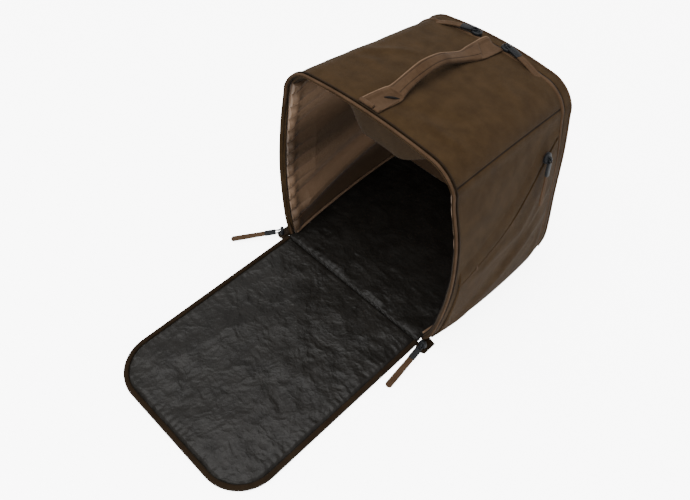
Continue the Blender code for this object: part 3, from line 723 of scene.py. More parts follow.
def make_side_panel(side, name):
    """A side from its foot to the shoulder seam, bulging softly."""
    seam = 0.0010
    ys = spaced(PANEL_FRONT, PANEL_BACK, 0.0026)
    shoulder = LEFT_SEAM if side < 0 else 3 - RIGHT_SEAM
    ends = [0.0012, 0.0030, 0.0060, 0.994, 0.997, 0.9988]
    parts = np.sort(np.concatenate([np.linspace(0, 1, 112), ends]))

    def places(y):
        u = parts * (shoulder - seam / run_length(0.5, y))
        return u if side < 0 else 3 - u

    outer = surface(ys, places, lambda us, y: side_lift(side, us, y))
    inner = surface(ys, places, lambda us, y: np.full_like(us, -PANEL_THICKNESS))
    obj = cloth(f"{name}_side_cloth", outer, inner, CANVAS, "bag")
    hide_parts(f"{name}_side_panel")


def make_seams():
    """The dark turned-in seam between the top and each side."""
    ys = spaced(PANEL_FRONT, PANEL_BACK, 0.0026)
    for side, name, seam in ((-1, "left", LEFT_SEAM), (1, "right", RIGHT_SEAM)):

        def places(y):
            return seam + np.linspace(-0.0024, 0.0024, 7) / run_length(1.5, y)

        outer = surface(ys, places, lambda us, y: np.full_like(us, -0.0019))
        inner = surface(ys, places, lambda us, y: np.full_like(us, -0.0034))
        strip = cloth(f"{name}_shoulder_seam", outer, inner, BINDING, "bag")


def pocket_height(y):
    part = (y - (FRONT + 0.020)) / 0.246
    return POCKET_FRONT_HEIGHT + part * (POCKET_BACK_HEIGHT - POCKET_FRONT_HEIGHT)


def slit_height(y):
    """The pocket's opening: a straight slant at both ends that sags a little between them."""
    return pocket_height(y) - 0.0090 * math.exp(-(((y + 0.020) / 0.060) ** 2))


def slit_gap(y):
    """Half the gap at the pocket's opening. It is closed towards the mouth."""
    part = min(1, max(0, (y + 0.034) / 0.036))
    return 0.0003 + 0.0021 * part * part * (3 - 2 * part)


def make_pocket(side, name):
    """The loose outer panel below the slanting zip, its folds, and the covered zip above it."""
    ys = spaced(POCKET_FRONT, POCKET_BACK, 0.0022)
    parts = np.sort(np.concatenate([np.linspace(0, 1, 110), [0.002, 0.005, 0.992, 0.996, 0.9985]]))

    def places(y):
        foot = 0.004 if side < 0 else 2.996
        top = height_to_u(side, slit_height(y) - slit_gap(y), y)
        return foot + parts * (top - foot)

    strong = (
        (0.106, 0.130),
        (0.058, 0.131),
        (0.000, 0.112),
        (-0.059, 0.082),
        (-0.090, 0.055),
        (-0.118, 0.040),
    )
    upper = ((0.070, 0.205), (0.010, 0.170), (-0.060, 0.172), (-0.096, 0.160))
    folds = (
        (strong, 0.0150, 0.0056),
        (upper, 0.0120, 0.0026),
        (((0.110, 0.098), (0.100, 0.050), (0.085, 0.010)), 0.0110, 0.0024),
        (((0.106, 0.190), (0.070, 0.168), (0.030, 0.150)), 0.0100, 0.0018),
    )
    hollows = ((((0.090, 0.160), (0.030, 0.146), (-0.050, 0.124)), 0.0150, 0.0012),)

    def lift(us, y):
        points = skin(us, y)
        z = points[:, 2]
        flat_y = np.full_like(z, y)
        amount = 0.0007 * noise(points, (0.08, 0.05, 0.06), 11 + side) + 0.0002 * noise(points, 0.016, 12)
        for path, width, height in folds:
            amount += ridge(flat_y, z, path, width, height)
        for path, width, depth in hollows:
            amount -= ridge(flat_y, z, path, width, depth)
        to_zip = (slit_height(y) - slit_gap(y) - z) * 0.92
        to_end = min(y - POCKET_FRONT, POCKET_BACK - y)
        away = np.clip(to_zip / 0.014, 0, 1) * np.clip(to_end / 0.016, 0, 1) * np.clip(z / 0.03, 0, 1)
        open_part = (slit_gap(y) - 0.0003) / 0.0021
        edge = rolled(to_zip, 0.0012 + 0.0008 * open_part) + rolled(to_end, 0.0020)
        return POCKET_LIFT + POCKET_THICKNESS + np.maximum(amount * away, -0.0012) - edge

    outer = surface(ys, places, lift)
    inner = surface(ys, places, lambda us, y: np.full_like(us, POCKET_LIFT))
    obj = cloth(f"{name}_pocket_cloth", outer, inner, CANVAS, "bag")
    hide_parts(f"{name}_pocket_panel")
    make_pocket_zip(side, name, ys)


def make_pocket_zip(side, name, ys):
    """A dark coil in the slit. The cloth above it runs smoothly up into the side panel."""

    def strip(low, high, lift, foot, count):
        parts = np.sort(np.concatenate([np.linspace(0, 1, count), [0.02, 0.05, 0.95, 0.98]]))

        def places(y):
            bottom = height_to_u(side, slit_height(y) + low(y), y)
            upper = height_to_u(side, slit_height(y) + high, y)
            return bottom + parts * (upper - bottom)

        outer = surface(ys, places, lambda us, y: lift(us, y, parts))
        inner = surface(ys, places, lambda us, y: np.full_like(us, foot))
        return outer, inner

    def blended(us, y, parts):
        rise = 1 - parts * parts * (3 - 2 * parts)
        turned = rolled(parts * POCKET_COVER, 0.0014)
        return side_lift(side, us, y) - 0.0003 + 0.0037 * rise - turned

    cover = cloth(
        f"{name}_pocket_zip_cover", *strip(slit_gap, POCKET_COVER, blended, -0.0014, 28), CANVAS, "bag"
    )
    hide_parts(f"{name}_pocket_zip")
    flat = strip(lambda y: -0.0022, 0.0022, lambda us, y, parts: np.full_like(us, 0.0011), 0.0003, 6)
    slit = cloth(f"{name}_pocket_zip_tape", *flat, COIL, "bag")
    path = [skin([height_to_u(side, slit_height(y), y)], y, 0.0013)[0] for y in ys]
    teeth = many(
        f"{name}_pocket_zip_teeth", path, (side, 0, 0), (0.0011, 0.0024, 0.0007), COIL, "bag", TOOTH_PITCH
    )
    y = POCKET_FRONT + 0.0330
    heights = np.linspace(-0.005, 0.005, 8)
    tack_path = [skin([height_to_u(side, slit_height(y) + z, y)], y, 0.0038)[0] for z in heights]
    tack = many(
        f"{name}_pocket_bar_tack", tack_path, (side, 0, 0), (0.0009, 0.0026, 0.0007), THREAD, "bag", 0.0012
    )


# ---------------------------------------------------------------- lining and floor


CHANNEL = 0.026
LINING_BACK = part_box("rear_zip_tape")[1].y - 0.0004


def channels(distance, from_mouth, strength):
    """Rows sewn through the padding: sharp puckers at the rim that fade into soft folds further in."""
    place = (distance - FOLD_SLANT * from_mouth) / CHANNEL
    pucker = np.exp(-((np.abs(place - np.round(place)) * CHANNEL / 0.0042) ** 2))
    wave = np.abs(np.sin(math.pi * place)) ** 0.7
    puff = 0.0042 * wave * math.exp(-from_mouth / 0.038)
    roll = 0.0040 * math.exp(-(((from_mouth - 0.0085) / 0.0080) ** 2)) * (1 - 0.55 * pucker)
    return strength * (puff + roll)


def lining_lift(us, y, distance, seed, strength):
    from_mouth = y - PANEL_FRONT
    points = skin(us, y)
    slanted = points.copy()
    slanted[:, 2] -= FOLD_SLANT * from_mouth
    folds = 0.0030 + 0.0120 * noise(slanted, (0.100, 0.520, 0.060), seed)
    return channels(distance, from_mouth, strength) + folds * min(1, 0.05 + from_mouth / 0.060)


def make_side_lining(side, name):
    ys = spaced(PANEL_FRONT, LINING_BACK, 0.0020)
    shoulder = LEFT_SEAM if side < 0 else 3 - RIGHT_SEAM
    parts = np.linspace(0.0, shoulder - 0.001, 240)

    def places(y):
        return parts if side < 0 else 3 - parts

    def lift(us, y):
        from_mouth = y - PANEL_FRONT
        rising = skin(us, y)[:, 2] - FOLD_SLANT * from_mouth
        low_roll = 0.0125 * np.exp(-(((rising - 0.046) / 0.019) ** 2)) * min(1, from_mouth / 0.04)
        amount = lining_lift(us, y, parts * run_length(0.5, y), 21 + side, 1.0 if side < 0 else 0.25)
        return LINING_FACE - np.clip(amount + low_roll, -0.0032, 0.0135)

    inner = surface(ys, places, lift)
    outer = surface(ys, places, lambda us, y: np.full_like(us, -LINING_INSET))
    inner[..., 2] = np.maximum(inner[..., 2], FLOOR_TOP - 0.0010)
    obj = cloth(f"{name}_lining_satin", inner, outer, SATIN, "bag")
    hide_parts(f"{name}_lining")


def ceiling_sag(x, from_mouth):
    """The top lining hangs loose in a fold just inside the mouth, right of the middle."""
    rise = np.clip((x + 0.056) / 0.044, 0, 1)
    fall = np.clip((0.126 - x) / 0.080, 0, 1)
    window = (rise**2 * (3 - 2 * rise)) * (fall**2 * (3 - 2 * fall))
    start = min(1, max(0, (from_mouth - 0.0012) / 0.0130))
    depth = start * start * (3 - 2 * start) * (0.25 + 0.75 * math.exp(-(((from_mouth - 0.014) / 0.055) ** 2)))
    return 0.050 * window * depth


def make_top_lining():
    ys = spaced(PANEL_FRONT, LINING_BACK, 0.0014)
    parts = np.linspace(LEFT_SEAM - 0.001, RIGHT_SEAM + 0.001, 240)

    def places(y):
        return parts

    def lift(us, y):
        points = skin(us, y)
        from_mouth = y - PANEL_FRONT
        soft = 0.0022 * (1 + noise(points, (0.060, 0.200, 0.100), 31)) * min(1, from_mouth / 0.02)
        return LINING_FACE - soft - ceiling_sag(points[:, 0], from_mouth)

    inner = surface(ys, places, lift)
    outer = surface(ys, places, lambda us, y: np.full_like(us, -LINING_INSET))
    obj = cloth("top_lining_satin", inner, outer, CEILING, "bag")
    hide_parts("top_lining")


def make_floor():
    """Crinkled tarpaulin on the floor, gathered where the front panel is sewn on."""
    ys = np.linspace(MAT_HINGE + 0.0022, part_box("rear_cover_lining")[0].y - 0.0004, 176)
    rows = []
    for y in ys:
        inside_bag = min(1, max(0, (y - PANEL_FRONT + 0.003) / 0.006))
        left = -0.1486 + inside_bag * (skin([0.0], max(y, FRONT))[0][0] + 0.0080 + 0.1486)
        right = 0.1486 + inside_bag * (skin([3.0], max(y, FRONT))[0][0] - 0.0080 - 0.1486)
        x = np.linspace(left, right, 190)
        flat = np.stack([x, np.full_like(x, y), np.zeros_like(x)], axis=1)
        from_hinge = y - ys[0]
        gather = 0.0005 * (1 + np.cos(2 * math.pi * x / 0.013 + 2.2 * noise(flat, 0.03, 41)))
        inside = np.clip(np.minimum(x - left, right - x) / 0.012, 0, 1)
        ramp = min(1, from_hinge / 0.010)
        z = (0.0020 * (1 + crinkle(flat, 0.070, 42)) + 0.0006 * crinkle(flat, 0.022, 47)) * ramp
        start = min(1, from_hinge / 0.003)
        flat[:, 2] = FLOOR_TOP - 0.0004 + (z + gather * start * math.exp(-from_hinge / 0.012)) * inside
        rows.append(flat)
    top = np.array(rows)
    bottom = at_height(top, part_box("floor_liner")[0].z)
    obj = cloth("floor_tarpaulin", top, bottom, TARPAULIN, "bag")
    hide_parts("floor_liner")
    for side, name in ((-1, "left"), (1, "right")):
        u = [0.0] if side < 0 else [3.0]
        path = [
            skin(u, y, LINING_FACE - 0.0014)[0] + (0, 0, FLOOR_TOP + 0.0024 - FOOT)
            for y in np.linspace(PANEL_FRONT + 0.002, PANEL_BACK + 0.016, 60)
        ]
        cord = sweep(
            f"{name}_floor_piping", path, (0, 0, 1), superellipse(0.0024, 0.0023, 2.2, 12), EDGING, "bag"
        )


def make_base():
    """The underside, a flat panel."""
    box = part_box("base_panel")
    rows = []
    for y in spaced(box[0].y, box[1].y, 0.004):
        left, right = skin([0.0], y)[0][0], skin([3.0], y)[0][0]
        x = np.linspace(left, right, 90)
        rows.append(np.stack([x, np.full_like(x, y), np.full_like(x, BASE_TOP)], axis=1))
    top = np.array(rows)
    bottom = at_height(top, 0.0)
    obj = cloth("base_cloth", top, bottom, CANVAS, "bag")
    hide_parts("base_panel")


# ---------------------------------------------------------------- mouth


def ring_path(runs, lift, y, start=0.0, stop=3.0, count=420):
    return standing(along(runs, np.linspace(start, stop, count), lift), y)


def make_mouth():
    """Piping round the rim, and the zip's tape with its teeth, relaxed back into the bag."""
    rim = rib(FRONT)
    path = ring_path(rim, -0.0010, RIM_PIPING)
    piping = sweep("mouth_rim_piping", path, (0, 1, 0), superellipse(0.0019, 0.0021, 2.2, 16), WEBBING, "bag")
    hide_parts("mouth_binding")
    cords = (("mouth_rim_seam", 0.0002, PANEL_FRONT + 0.0004), ("mouth_rim_tape", -0.0040, RIM_TAPE))
    for name, lift, y in cords:
        path = ring_path(rim, lift, y)
        dark = sweep(name, path, (0, 1, 0), superellipse(0.0009, 0.0013, 2.6, 14), BINDING, "bag")
    facing = cloth(
        "mouth_facing", *band(-0.1436, PANEL_FRONT + 0.0040, -0.0016, -0.0032, count=420), CANVAS, "bag"
    )
    tape_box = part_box("mouth_zip_tape")
    count = 420
    us = np.linspace(0, 3, count)
    outside, inside = along(rim, us, -0.0008), along(mouth_arch(), us, -0.0016)
    parts = np.linspace(0, 1, 11)
    ripple = 0.0006 * np.sin(np.arange(count) * 0.21) + 0.0004 * np.sin(np.arange(count) * 0.083)
    inward = inside - outside
    inward = inward * (np.minimum(0.66, 0.0064 / np.maximum(np.linalg.norm(inward, axis=1), 1e-6)))[:, None]
    turned = 0.0082

    def edge(part, y, count_row=ripple):
        flat = outside + part * inward
        depth = y + turned * part**1.2 + count_row * part
        return np.stack([flat[:, 0], depth, flat[:, 1]], axis=1)

    rows = [np.array([edge(part, y) for part in parts]) for y in (tape_box[0].y, tape_box[0].y + 0.0010)]
    tape = cloth("mouth_tape_cloth", *rows, CANVAS, "bag")
    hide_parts("mouth_zip_tape")
    teeth_path = even_path(edge(1.0, tape_box[0].y + 0.0004), 0.003)
    size = (0.0013, TEETH_WIDTH * 0.8, 0.0014)
    teeth = many("mouth_coil", teeth_path, (0, -1, 0), size, COIL, "bag", TOOTH_PITCH)
    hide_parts("mouth_zip_teeth")


# ---------------------------------------------------------------- front panel


def mat_half_width(distance, inset):
    straight = MAT_LENGTH - MAT_RADIUS
    radius = MAT_RADIUS - inset
    over = np.clip(distance - straight, 0, radius)
    return MAT_HALF_WIDTH - MAT_RADIUS + np.sqrt(np.clip(radius**2 - over**2, 0, None))


def mat_rows(inset, step=0.0024):
    """Distances from the hinge, closer together round the far corners."""
    straight = MAT_LENGTH - MAT_RADIUS
    radius = MAT_RADIUS - inset
    corner = straight + radius * np.sin(np.linspace(0, math.pi / 2, 34)[1:])
    return np.concatenate([np.linspace(0.0010, straight, int(straight / step)), corner])


def mat_outline(inset, count=440):
    """The panel's edge at an inset, from the hinge on the left round to the hinge on the right."""
    radius = MAT_RADIUS - inset
    straight = MAT_LENGTH - MAT_RADIUS
    half = MAT_HALF_WIDTH - inset
    turn = [math.radians(90 * n / 24) for n in range(25)]
    right = [(half, 0.0010)] + arc((half - radius, straight), radius, turn)
    edge = [(-x, d) for x, d in right] + right[::-1]
    return even_path([(x, MAT_HINGE - d, 0.0) for x, d in edge], 2.0 / count)


def make_front_panel():
    """The mat face is crinkled over its foam. A binding and the zip's other half run round it."""
    inset = TEETH_WIDTH + 0.0046
    distances = mat_rows(inset, 0.0020)
    columns = np.linspace(-1, 1, 190)
    top, bottom = [], []
    for distance in distances:
        x = columns * mat_half_width(distance, inset)
        flat = np.stack([x, np.full_like(x, MAT_HINGE - distance), np.zeros_like(x)], axis=1)
        to_side = mat_half_width(distance, inset) - np.abs(x)
        to_far = MAT_LENGTH - inset - distance
        to_edge = np.clip(np.minimum(np.minimum(to_side, to_far), distance), 0, None)
        inside = np.clip(to_edge / 0.005, 0, 1)
        place = np.where(to_side < to_far, distance, x)
        phase = 3.0 * noise(flat, 0.04, 59)
        gather = 0.0006 * np.cos(2 * math.pi * place / 0.011 + phase) * np.exp(-to_edge / 0.010)
        rows = 0.0017 * (1 + crinkle(flat, 0.085, 51)) + 0.0005 * crinkle(flat, 0.034, 55)
        rows = rows + 0.0012 * (1 + noise(flat, (0.16, 0.12, 0.1), 57)) + gather
        flat[:, 2] = MAT_TOP - 0.0010 + np.maximum(rows, -0.0004) * inside
        top.append(flat)
        under = flat.copy()
        under[:, 2] = 0.0043
        bottom.append(under)
    mat = cloth("mat_tarpaulin", np.array(top), np.array(bottom), TARPAULIN, "front_panel")
    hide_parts("front_panel_mat")
    shell_top, shell_bottom = np.array(top), np.array(top)
    shell_top[..., 2] = 0.0018
    shell_bottom[..., 2] = 0.0
    shell = cloth("front_panel_cloth", shell_top, shell_bottom, CANVAS, "front_panel")
    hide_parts("front_panel_shell")
    path = mat_outline(TEETH_WIDTH + 0.0010)
    path[:, 2] = 0.0040
    outline = superellipse(0.0042, 0.0040, 2.6, 18)
    binding = sweep("front_panel_edge_binding", path, (0, 0, 1), outline, BINDING, "front_panel")
    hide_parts("front_panel_binding")
    teeth_path = mat_outline(0.0012)
    teeth_path[:, 2] = MAT_TOP / 2
    size = (0.0013, 0.0022, 0.0014)
    teeth = many("front_panel_coil", teeth_path, (0, 0, 1), size, COIL, "front_panel", TOOTH_PITCH)
    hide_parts("front_panel_zip_teeth")


def make_hinge():
    """The strip of tarpaulin that the front panel folds on, with a stitched crease."""
    width = 0.1492
    start, stop = MAT_HINGE + 0.0060, MAT_HINGE - 0.0026
    x = np.linspace(-width, width, 230)
    top = []
    for y in np.linspace(start, stop, 22):
        flat = np.stack([x, np.full_like(x, y), np.zeros_like(x)], axis=1)
        crease = math.exp(-(((y - MAT_HINGE) / 0.0012) ** 2))
        part = (start - y) / (start - stop)
        level = (1 - part) * (FLOOR_TOP - 0.0006) + part * (MAT_TOP - 0.0008)
        phase = 2.5 * noise(flat, 0.03, 43)
        gather = 0.0005 * np.cos(2 * math.pi * x / 0.012 + phase) * math.sin(math.pi * part)
        flat[:, 2] = level - 0.0016 * crease + gather * (1 - crease)
        top.append(flat)
    top = np.array(top)
    bottom = top.copy()
    bottom[..., 2] -= 0.0024
    strip = cloth("hinge_tarpaulin", top, bottom, TARPAULIN)
    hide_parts("hinge_strip")
    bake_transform(strip)
    for side, name in ((-1, "left"), (1, "right")):
        make_tape_end(side, name)


TAPE_END_INSET = 0.0055  # how far behind the panel's front edge the loose end starts


def make_tape_end(side, name):
    """The loose end of the mouth's zip tape, turned out under its slider, clear of the panel's edge."""
    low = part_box(f"mouth_{name}_slider")[0]
    width = np.linspace(0.0, 1.0, 14)
    front = min(low.y, -0.1550) - 0.0010
    top = []
    for r in np.linspace(0.0, 1.0, 18):
        x = side * (MAT_HALF_WIDTH + 0.0005 + r * 0.0180)
        reach = 0.80 + 0.20 * math.sin(math.pi * (0.15 + 0.75 * r))
        y = PANEL_FRONT + TAPE_END_INSET + width * (front - PANEL_FRONT - TAPE_END_INSET) * reach
        z = 0.0070 * (1 - r) ** 1.2 + 0.0020 + 0.0006 * np.sin(9 * width + 3 * r)
        top.append(np.stack([np.full_like(y, x), y, z], axis=1))
    top = np.array(top)
    bottom = at_height(top, 0.0)
    end = cloth(f"mouth_{name}_tape_end", top, bottom, BINDING, "bag")


# ---------------------------------------------------------------- back of the bag


def band(y0, y1, lift, foot, rows=7, count=300, bulge=0.0):
    """A strip round the whole arch between two y, crowned across by bulge."""
    us = np.linspace(0, 3, count)
    parts = np.linspace(0, 1, rows)
    outer = [skin(us, y0 + p * (y1 - y0), lift + bulge * math.sin(math.pi * p)) for p in parts]
    inner = [skin(us, y0 + p * (y1 - y0), foot) for p in parts]
    return np.array(outer), np.array(inner)


def make_rear_zip():
    """The fixed tape and teeth, with a lighter cover strip along the top and round the corners."""
    tape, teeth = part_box("rear_zip_tape"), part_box("rear_zip_teeth")
    outer, inner = band(tape[0].y - 0.0030, tape[1].y, 0.0005, -0.0020, 9, bulge=0.0013)
    strip = cloth("rear_tape_cloth", outer, inner, WEBBING, "bag")
    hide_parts("rear_zip_tape")
    path = ring_path(rib(float(teeth[0].y)), -0.0010, (teeth[0].y + teeth[1].y) / 2)
    coil = many("rear_coil", path, (0, 1, 0), (0.0013, 0.0022, 0.0013), COIL, "bag", TOOTH_PITCH)
    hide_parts("rear_zip_teeth")


def disc(outline, levels, place):
    """Rings from the middle of an outline out to it. place(points, level) gives the 3-D points."""
    outline = np.asarray(outline)
    middle = outline.mean(axis=0)
    return np.array([place(middle + level * (outline - middle), level) for level in levels])


def disc_piece(name, front, back, material, body):
    rows, count = front.shape[:2]
    points = np.vstack([front.reshape(-1, 3), back.reshape(-1, 3)])
    offset = rows * count
    faces = grid_faces(rows, count, 0, True) + grid_faces(rows, count, offset, True)
    last = (rows - 1) * count
    for column in range(count):
        after = (column + 1) % count
        faces.append([last + column, last + after, offset + last + after, offset + last + column])
    faces += [list(range(count))[::-1], [offset + column for column in range(count)]]
    return piece(name, points, faces, material, body, points[:, [0, 2]])


def make_rear_cover():
    """The cover's own teeth, its gusset, piping, and the padded back with its lining."""
    teeth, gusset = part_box("rear_cover_zip_teeth"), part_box("rear_cover_gusset")
    path = ring_path(rib(float(teeth[0].y)), -0.0010, (teeth[0].y + teeth[1].y) / 2)
    coil = many("rear_cover_coil", path, (0, 1, 0), (0.0013, 0.0022, 0.0012), COIL, "rear_cover", TOOTH_PITCH)
    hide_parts("rear_cover_zip_teeth")
    outer, inner = band(gusset[0].y, gusset[1].y, -0.0002, -PANEL_THICKNESS, 11, 300, 0.0008)
    side = cloth("rear_cover_gusset_cloth", outer, inner, CANVAS, "rear_cover")
    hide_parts("rear_cover_gusset")
    piping_path = ring_path(rib(BACK), 0.0008, BACK - 0.0002)
    round_outline = superellipse(0.0017, 0.0017, 2.0, 12)
    cord = sweep("rear_cover_cord", piping_path, (0, 1, 0), round_outline, WEBBING, "rear_cover")
    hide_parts("rear_cover_piping")

    outline = along(rib(BACK), np.linspace(0, 3, 260), 0.0)
    levels = np.linspace(0.02, 1, 60)
    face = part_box("rear_cover_panel")

    def puffed(flat, level):
        points = np.stack([flat[:, 0], np.zeros(len(flat)), flat[:, 1]], axis=1)
        puff = 0.0060 * (1 - level**3) + 0.0016 * noise(points, (0.10, 0.1, 0.07), 61) * (1 - level**6)
        points[:, 1] = face[0].y + 0.0016 + puff
        return points

    def plain(y):
        return lambda flat, level: standing(flat, y)

    panel = disc_piece(
        "rear_cover_cloth",
        disc(outline, levels, puffed),
        disc(outline, levels, plain(face[0].y)),
        CANVAS,
        "rear_cover",
    )
    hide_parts("rear_cover_panel")
    lining_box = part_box("rear_cover_lining")
    inner_outline = along(rib(BACK), np.linspace(0, 3, 260), -0.0050)
    inner_outline[:, 1] = np.maximum(inner_outline[:, 1], FLOOR_TOP + 0.0002)

    def quilted(flat, level):
        points = np.stack([flat[:, 0], np.full(len(flat), lining_box[0].y), flat[:, 1]], axis=1)
        points[:, 1] -= 0.0015 * np.abs(np.sin(math.pi * flat[:, 0] / CHANNEL)) ** 0.7 * (1 - level**8)
        return points

    lining = disc_piece(
        "rear_cover_satin",
        disc(inner_outline, levels, quilted),
        disc(inner_outline, levels, plain(lining_box[1].y)),
        SATIN,
        "rear_cover",
    )
    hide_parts("rear_cover_lining")
    make_rear_fold()


def make_rear_fold():
    """The cloth that turns up from the base to the rear cover, where the cover folds down."""
    low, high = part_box("base_panel")[1].y - 0.0008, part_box("rear_cover_panel")[1].y
    corner = [
        (low, 0.0004),
        (low + 0.0030, 0.0002),
        (high - 0.0012, 0.0008),
        (high, 0.0030),
        (high + 0.0003, 0.0070),
    ]
    corner = smooth(corner, 4)
    x = np.linspace(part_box("base_panel")[0].x + 0.003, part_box("base_panel")[1].x - 0.003, 120)
    outer = np.array([np.stack([x, np.full_like(x, y), np.full_like(x, z)], axis=1) for y, z in corner])
    inner = outer + (0, -0.0010, 0.0010)
    fold = cloth("rear_cover_fold", outer, inner, CANVAS)
    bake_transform(fold)


# ---------------------------------------------------------------- handle


def handle_section(y, half, count=60):
    """The handle's outline at a distance y from the front pivot: open webbing, or the padded grip."""
    outline = superellipse(half, 1.0, 2.7, count)
    across = outline[:, 0] / half
    top = outline[:, 1] > 0
    front = y - GRIP_STEP_FRONT
    rear = GRIP_STEP_REAR - 0.42 * outline[:, 0] * 2 - y
    inside = np.clip(np.minimum(front, rear) / 0.0035 + 0.5, 0, 1)
    inside = inside * inside * (3 - 2 * inside)
    thickness = 0.0011 + (0.0044 - 0.0011) * inside
    band = 0.0022 / (1 + np.exp((across + 0.56) / 0.035)) + 0.0012 / (1 + np.exp(-(across - 0.74) / 0.03))
    hollow = 0.0006 * (np.abs(across) < 0.55)
    grooves = 0.0009 * (np.exp(-(((across + 0.66) / 0.05) ** 2)) + np.exp(-(((across - 0.46) / 0.05) ** 2)))
    outline[:, 1] *= thickness
    outline[:, 1] += np.where(top, (band - hollow) * (1 - inside) - grooves * inside, 0.0)
    return outline


def handle_places(start, stop, count):
    """Points along the handle, each with its directions across and up and its outline."""
    curve = smooth(np.array(HANDLE_EDGES), 14)
    inside = (curve[:, 0] >= start) & (curve[:, 0] <= stop)
    curve = curve[inside]
    wanted = np.linspace(curve[0, 0], curve[-1, 0], count)
    curve = np.stack([np.interp(wanted, curve[:, 0], curve[:, n]) for n in range(5)], axis=1)
    ground = np.array([crest(HANDLE_FRONT + y) for y in wanted])
    left = np.stack([curve[:, 1], HANDLE_FRONT + wanted, ground + curve[:, 2]], axis=1)
    right = np.stack([curve[:, 3], HANDLE_FRONT + wanted, ground + curve[:, 4]], axis=1)
    middle = (left + right) / 2
    found = []
    for index, y in enumerate(wanted):
        onwards = middle[min(index + 1, count - 1)] - middle[max(index - 1, 0)]
        a = right[index] - left[index]
        half = np.linalg.norm(a) / 2
        a = a / (2 * half)
        b = np.cross(a, onwards / np.linalg.norm(onwards))
        b = b / np.linalg.norm(b)
        found.append((middle[index], a, b if b[2] > 0 else -b, handle_section(y, half)))
    return found


def handle_rows(start, stop, count):
    """The handle's surface from one distance to another, in rows of points."""
    return np.array(
        [
            point + np.outer(outline[:, 0], a) + np.outer(outline[:, 1], b)
            for point, a, b, outline in handle_places(start, stop, count)
        ]
    )


def handle_seam(name, start, stop, share, outline=None, material=None, sink=0.0):
    """A line along the top of the handle. share is its place across, from -1 to 1."""
    path = []
    for point, a, b, section in handle_places(start, stop, 70):
        top = section[section[:, 1] >= 0]
        top = top[np.argsort(top[:, 0])]
        x = share * top[-1, 0]
        path.append(point + x * a + (np.interp(x, top[:, 0], top[:, 1]) + 0.00005 - sink) * b)
    outline = superellipse(0.00045, 0.00030, 2.0, 8) if outline is None else outline
    return sweep(name, path, (0, 0, 1), outline, material or THREAD_DARK)


def make_handle():
    """One wide strap: flat where it is sewn down at both ends, folded into a padded grip between."""
    span = HANDLE_BACK - HANDLE_FRONT
    lowest, highest = HANDLE_EDGES[0][0], HANDLE_EDGES[-1][0]
    edge = superellipse(0.00095, 0.00095, 2.2, 12)
    zones = (("front", lowest, 0.0480), ("grip", 0.0470, 0.1600), ("rear", 0.1590, highest))
    for zone, start, stop in zones:
        name = "handle_padded_grip" if zone == "grip" else f"handle_{zone}_leg"
        pieces = [rod(name, handle_rows(start, stop, 120), WEBBING)]
        low = max(start, GRIP_STEP_FRONT + 0.002)
        high = min(stop, GRIP_STEP_REAR - 0.004)
        pieces.append(handle_seam(f"handle_{zone}_seam_a", low, high, -0.66))
        pieces.append(handle_seam(f"handle_{zone}_seam_b", low, high, 0.46))
        pieces.append(handle_seam(f"handle_{zone}_edge", start, stop, -0.93, edge, EDGING, 0.0004))
        if zone == "grip":
            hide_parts("handle_grip")
        if zone == "front":
            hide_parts("handle_webbing")
        for one in pieces:
            if zone == "grip":
                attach(one, "handle")
            else:
                z = crest(HANDLE_FRONT + (0.0 if zone == "front" else span)) + HANDLE_PIVOT_HEIGHT
                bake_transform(one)
    # The hollow end of the grip, open towards the mouth: the black sheet in it is painted shadow inside the
    # opening.
    rows = []
    for part in np.linspace(0, 1, 26):
        open_half = 0.0011 * math.sin(math.pi * part) ** 0.8 + 0.0001
        centre = np.array([0.0005 + 0.0160 * part, HANDLE_FRONT + 0.0088 + 0.0128 * part])
        z = crest(centre[1]) + 0.0031 + 0.0012 * math.sin(math.pi * part)
        normal = np.array([-0.63, 0.78]) * open_half
        lips = [(centre + s * normal, z + 0.0004 * (s > 0)) for s in (-1, -0.3, 0.3, 1)]
        rows.append([(*place, height) for place, height in lips])
    rows = np.array(rows)
    slot_shadow = cloth("handle_front_slot_shadow", rows, rows - (0, 0, 0.0012), PAINTED_SLOT_SHADOW, "bag")


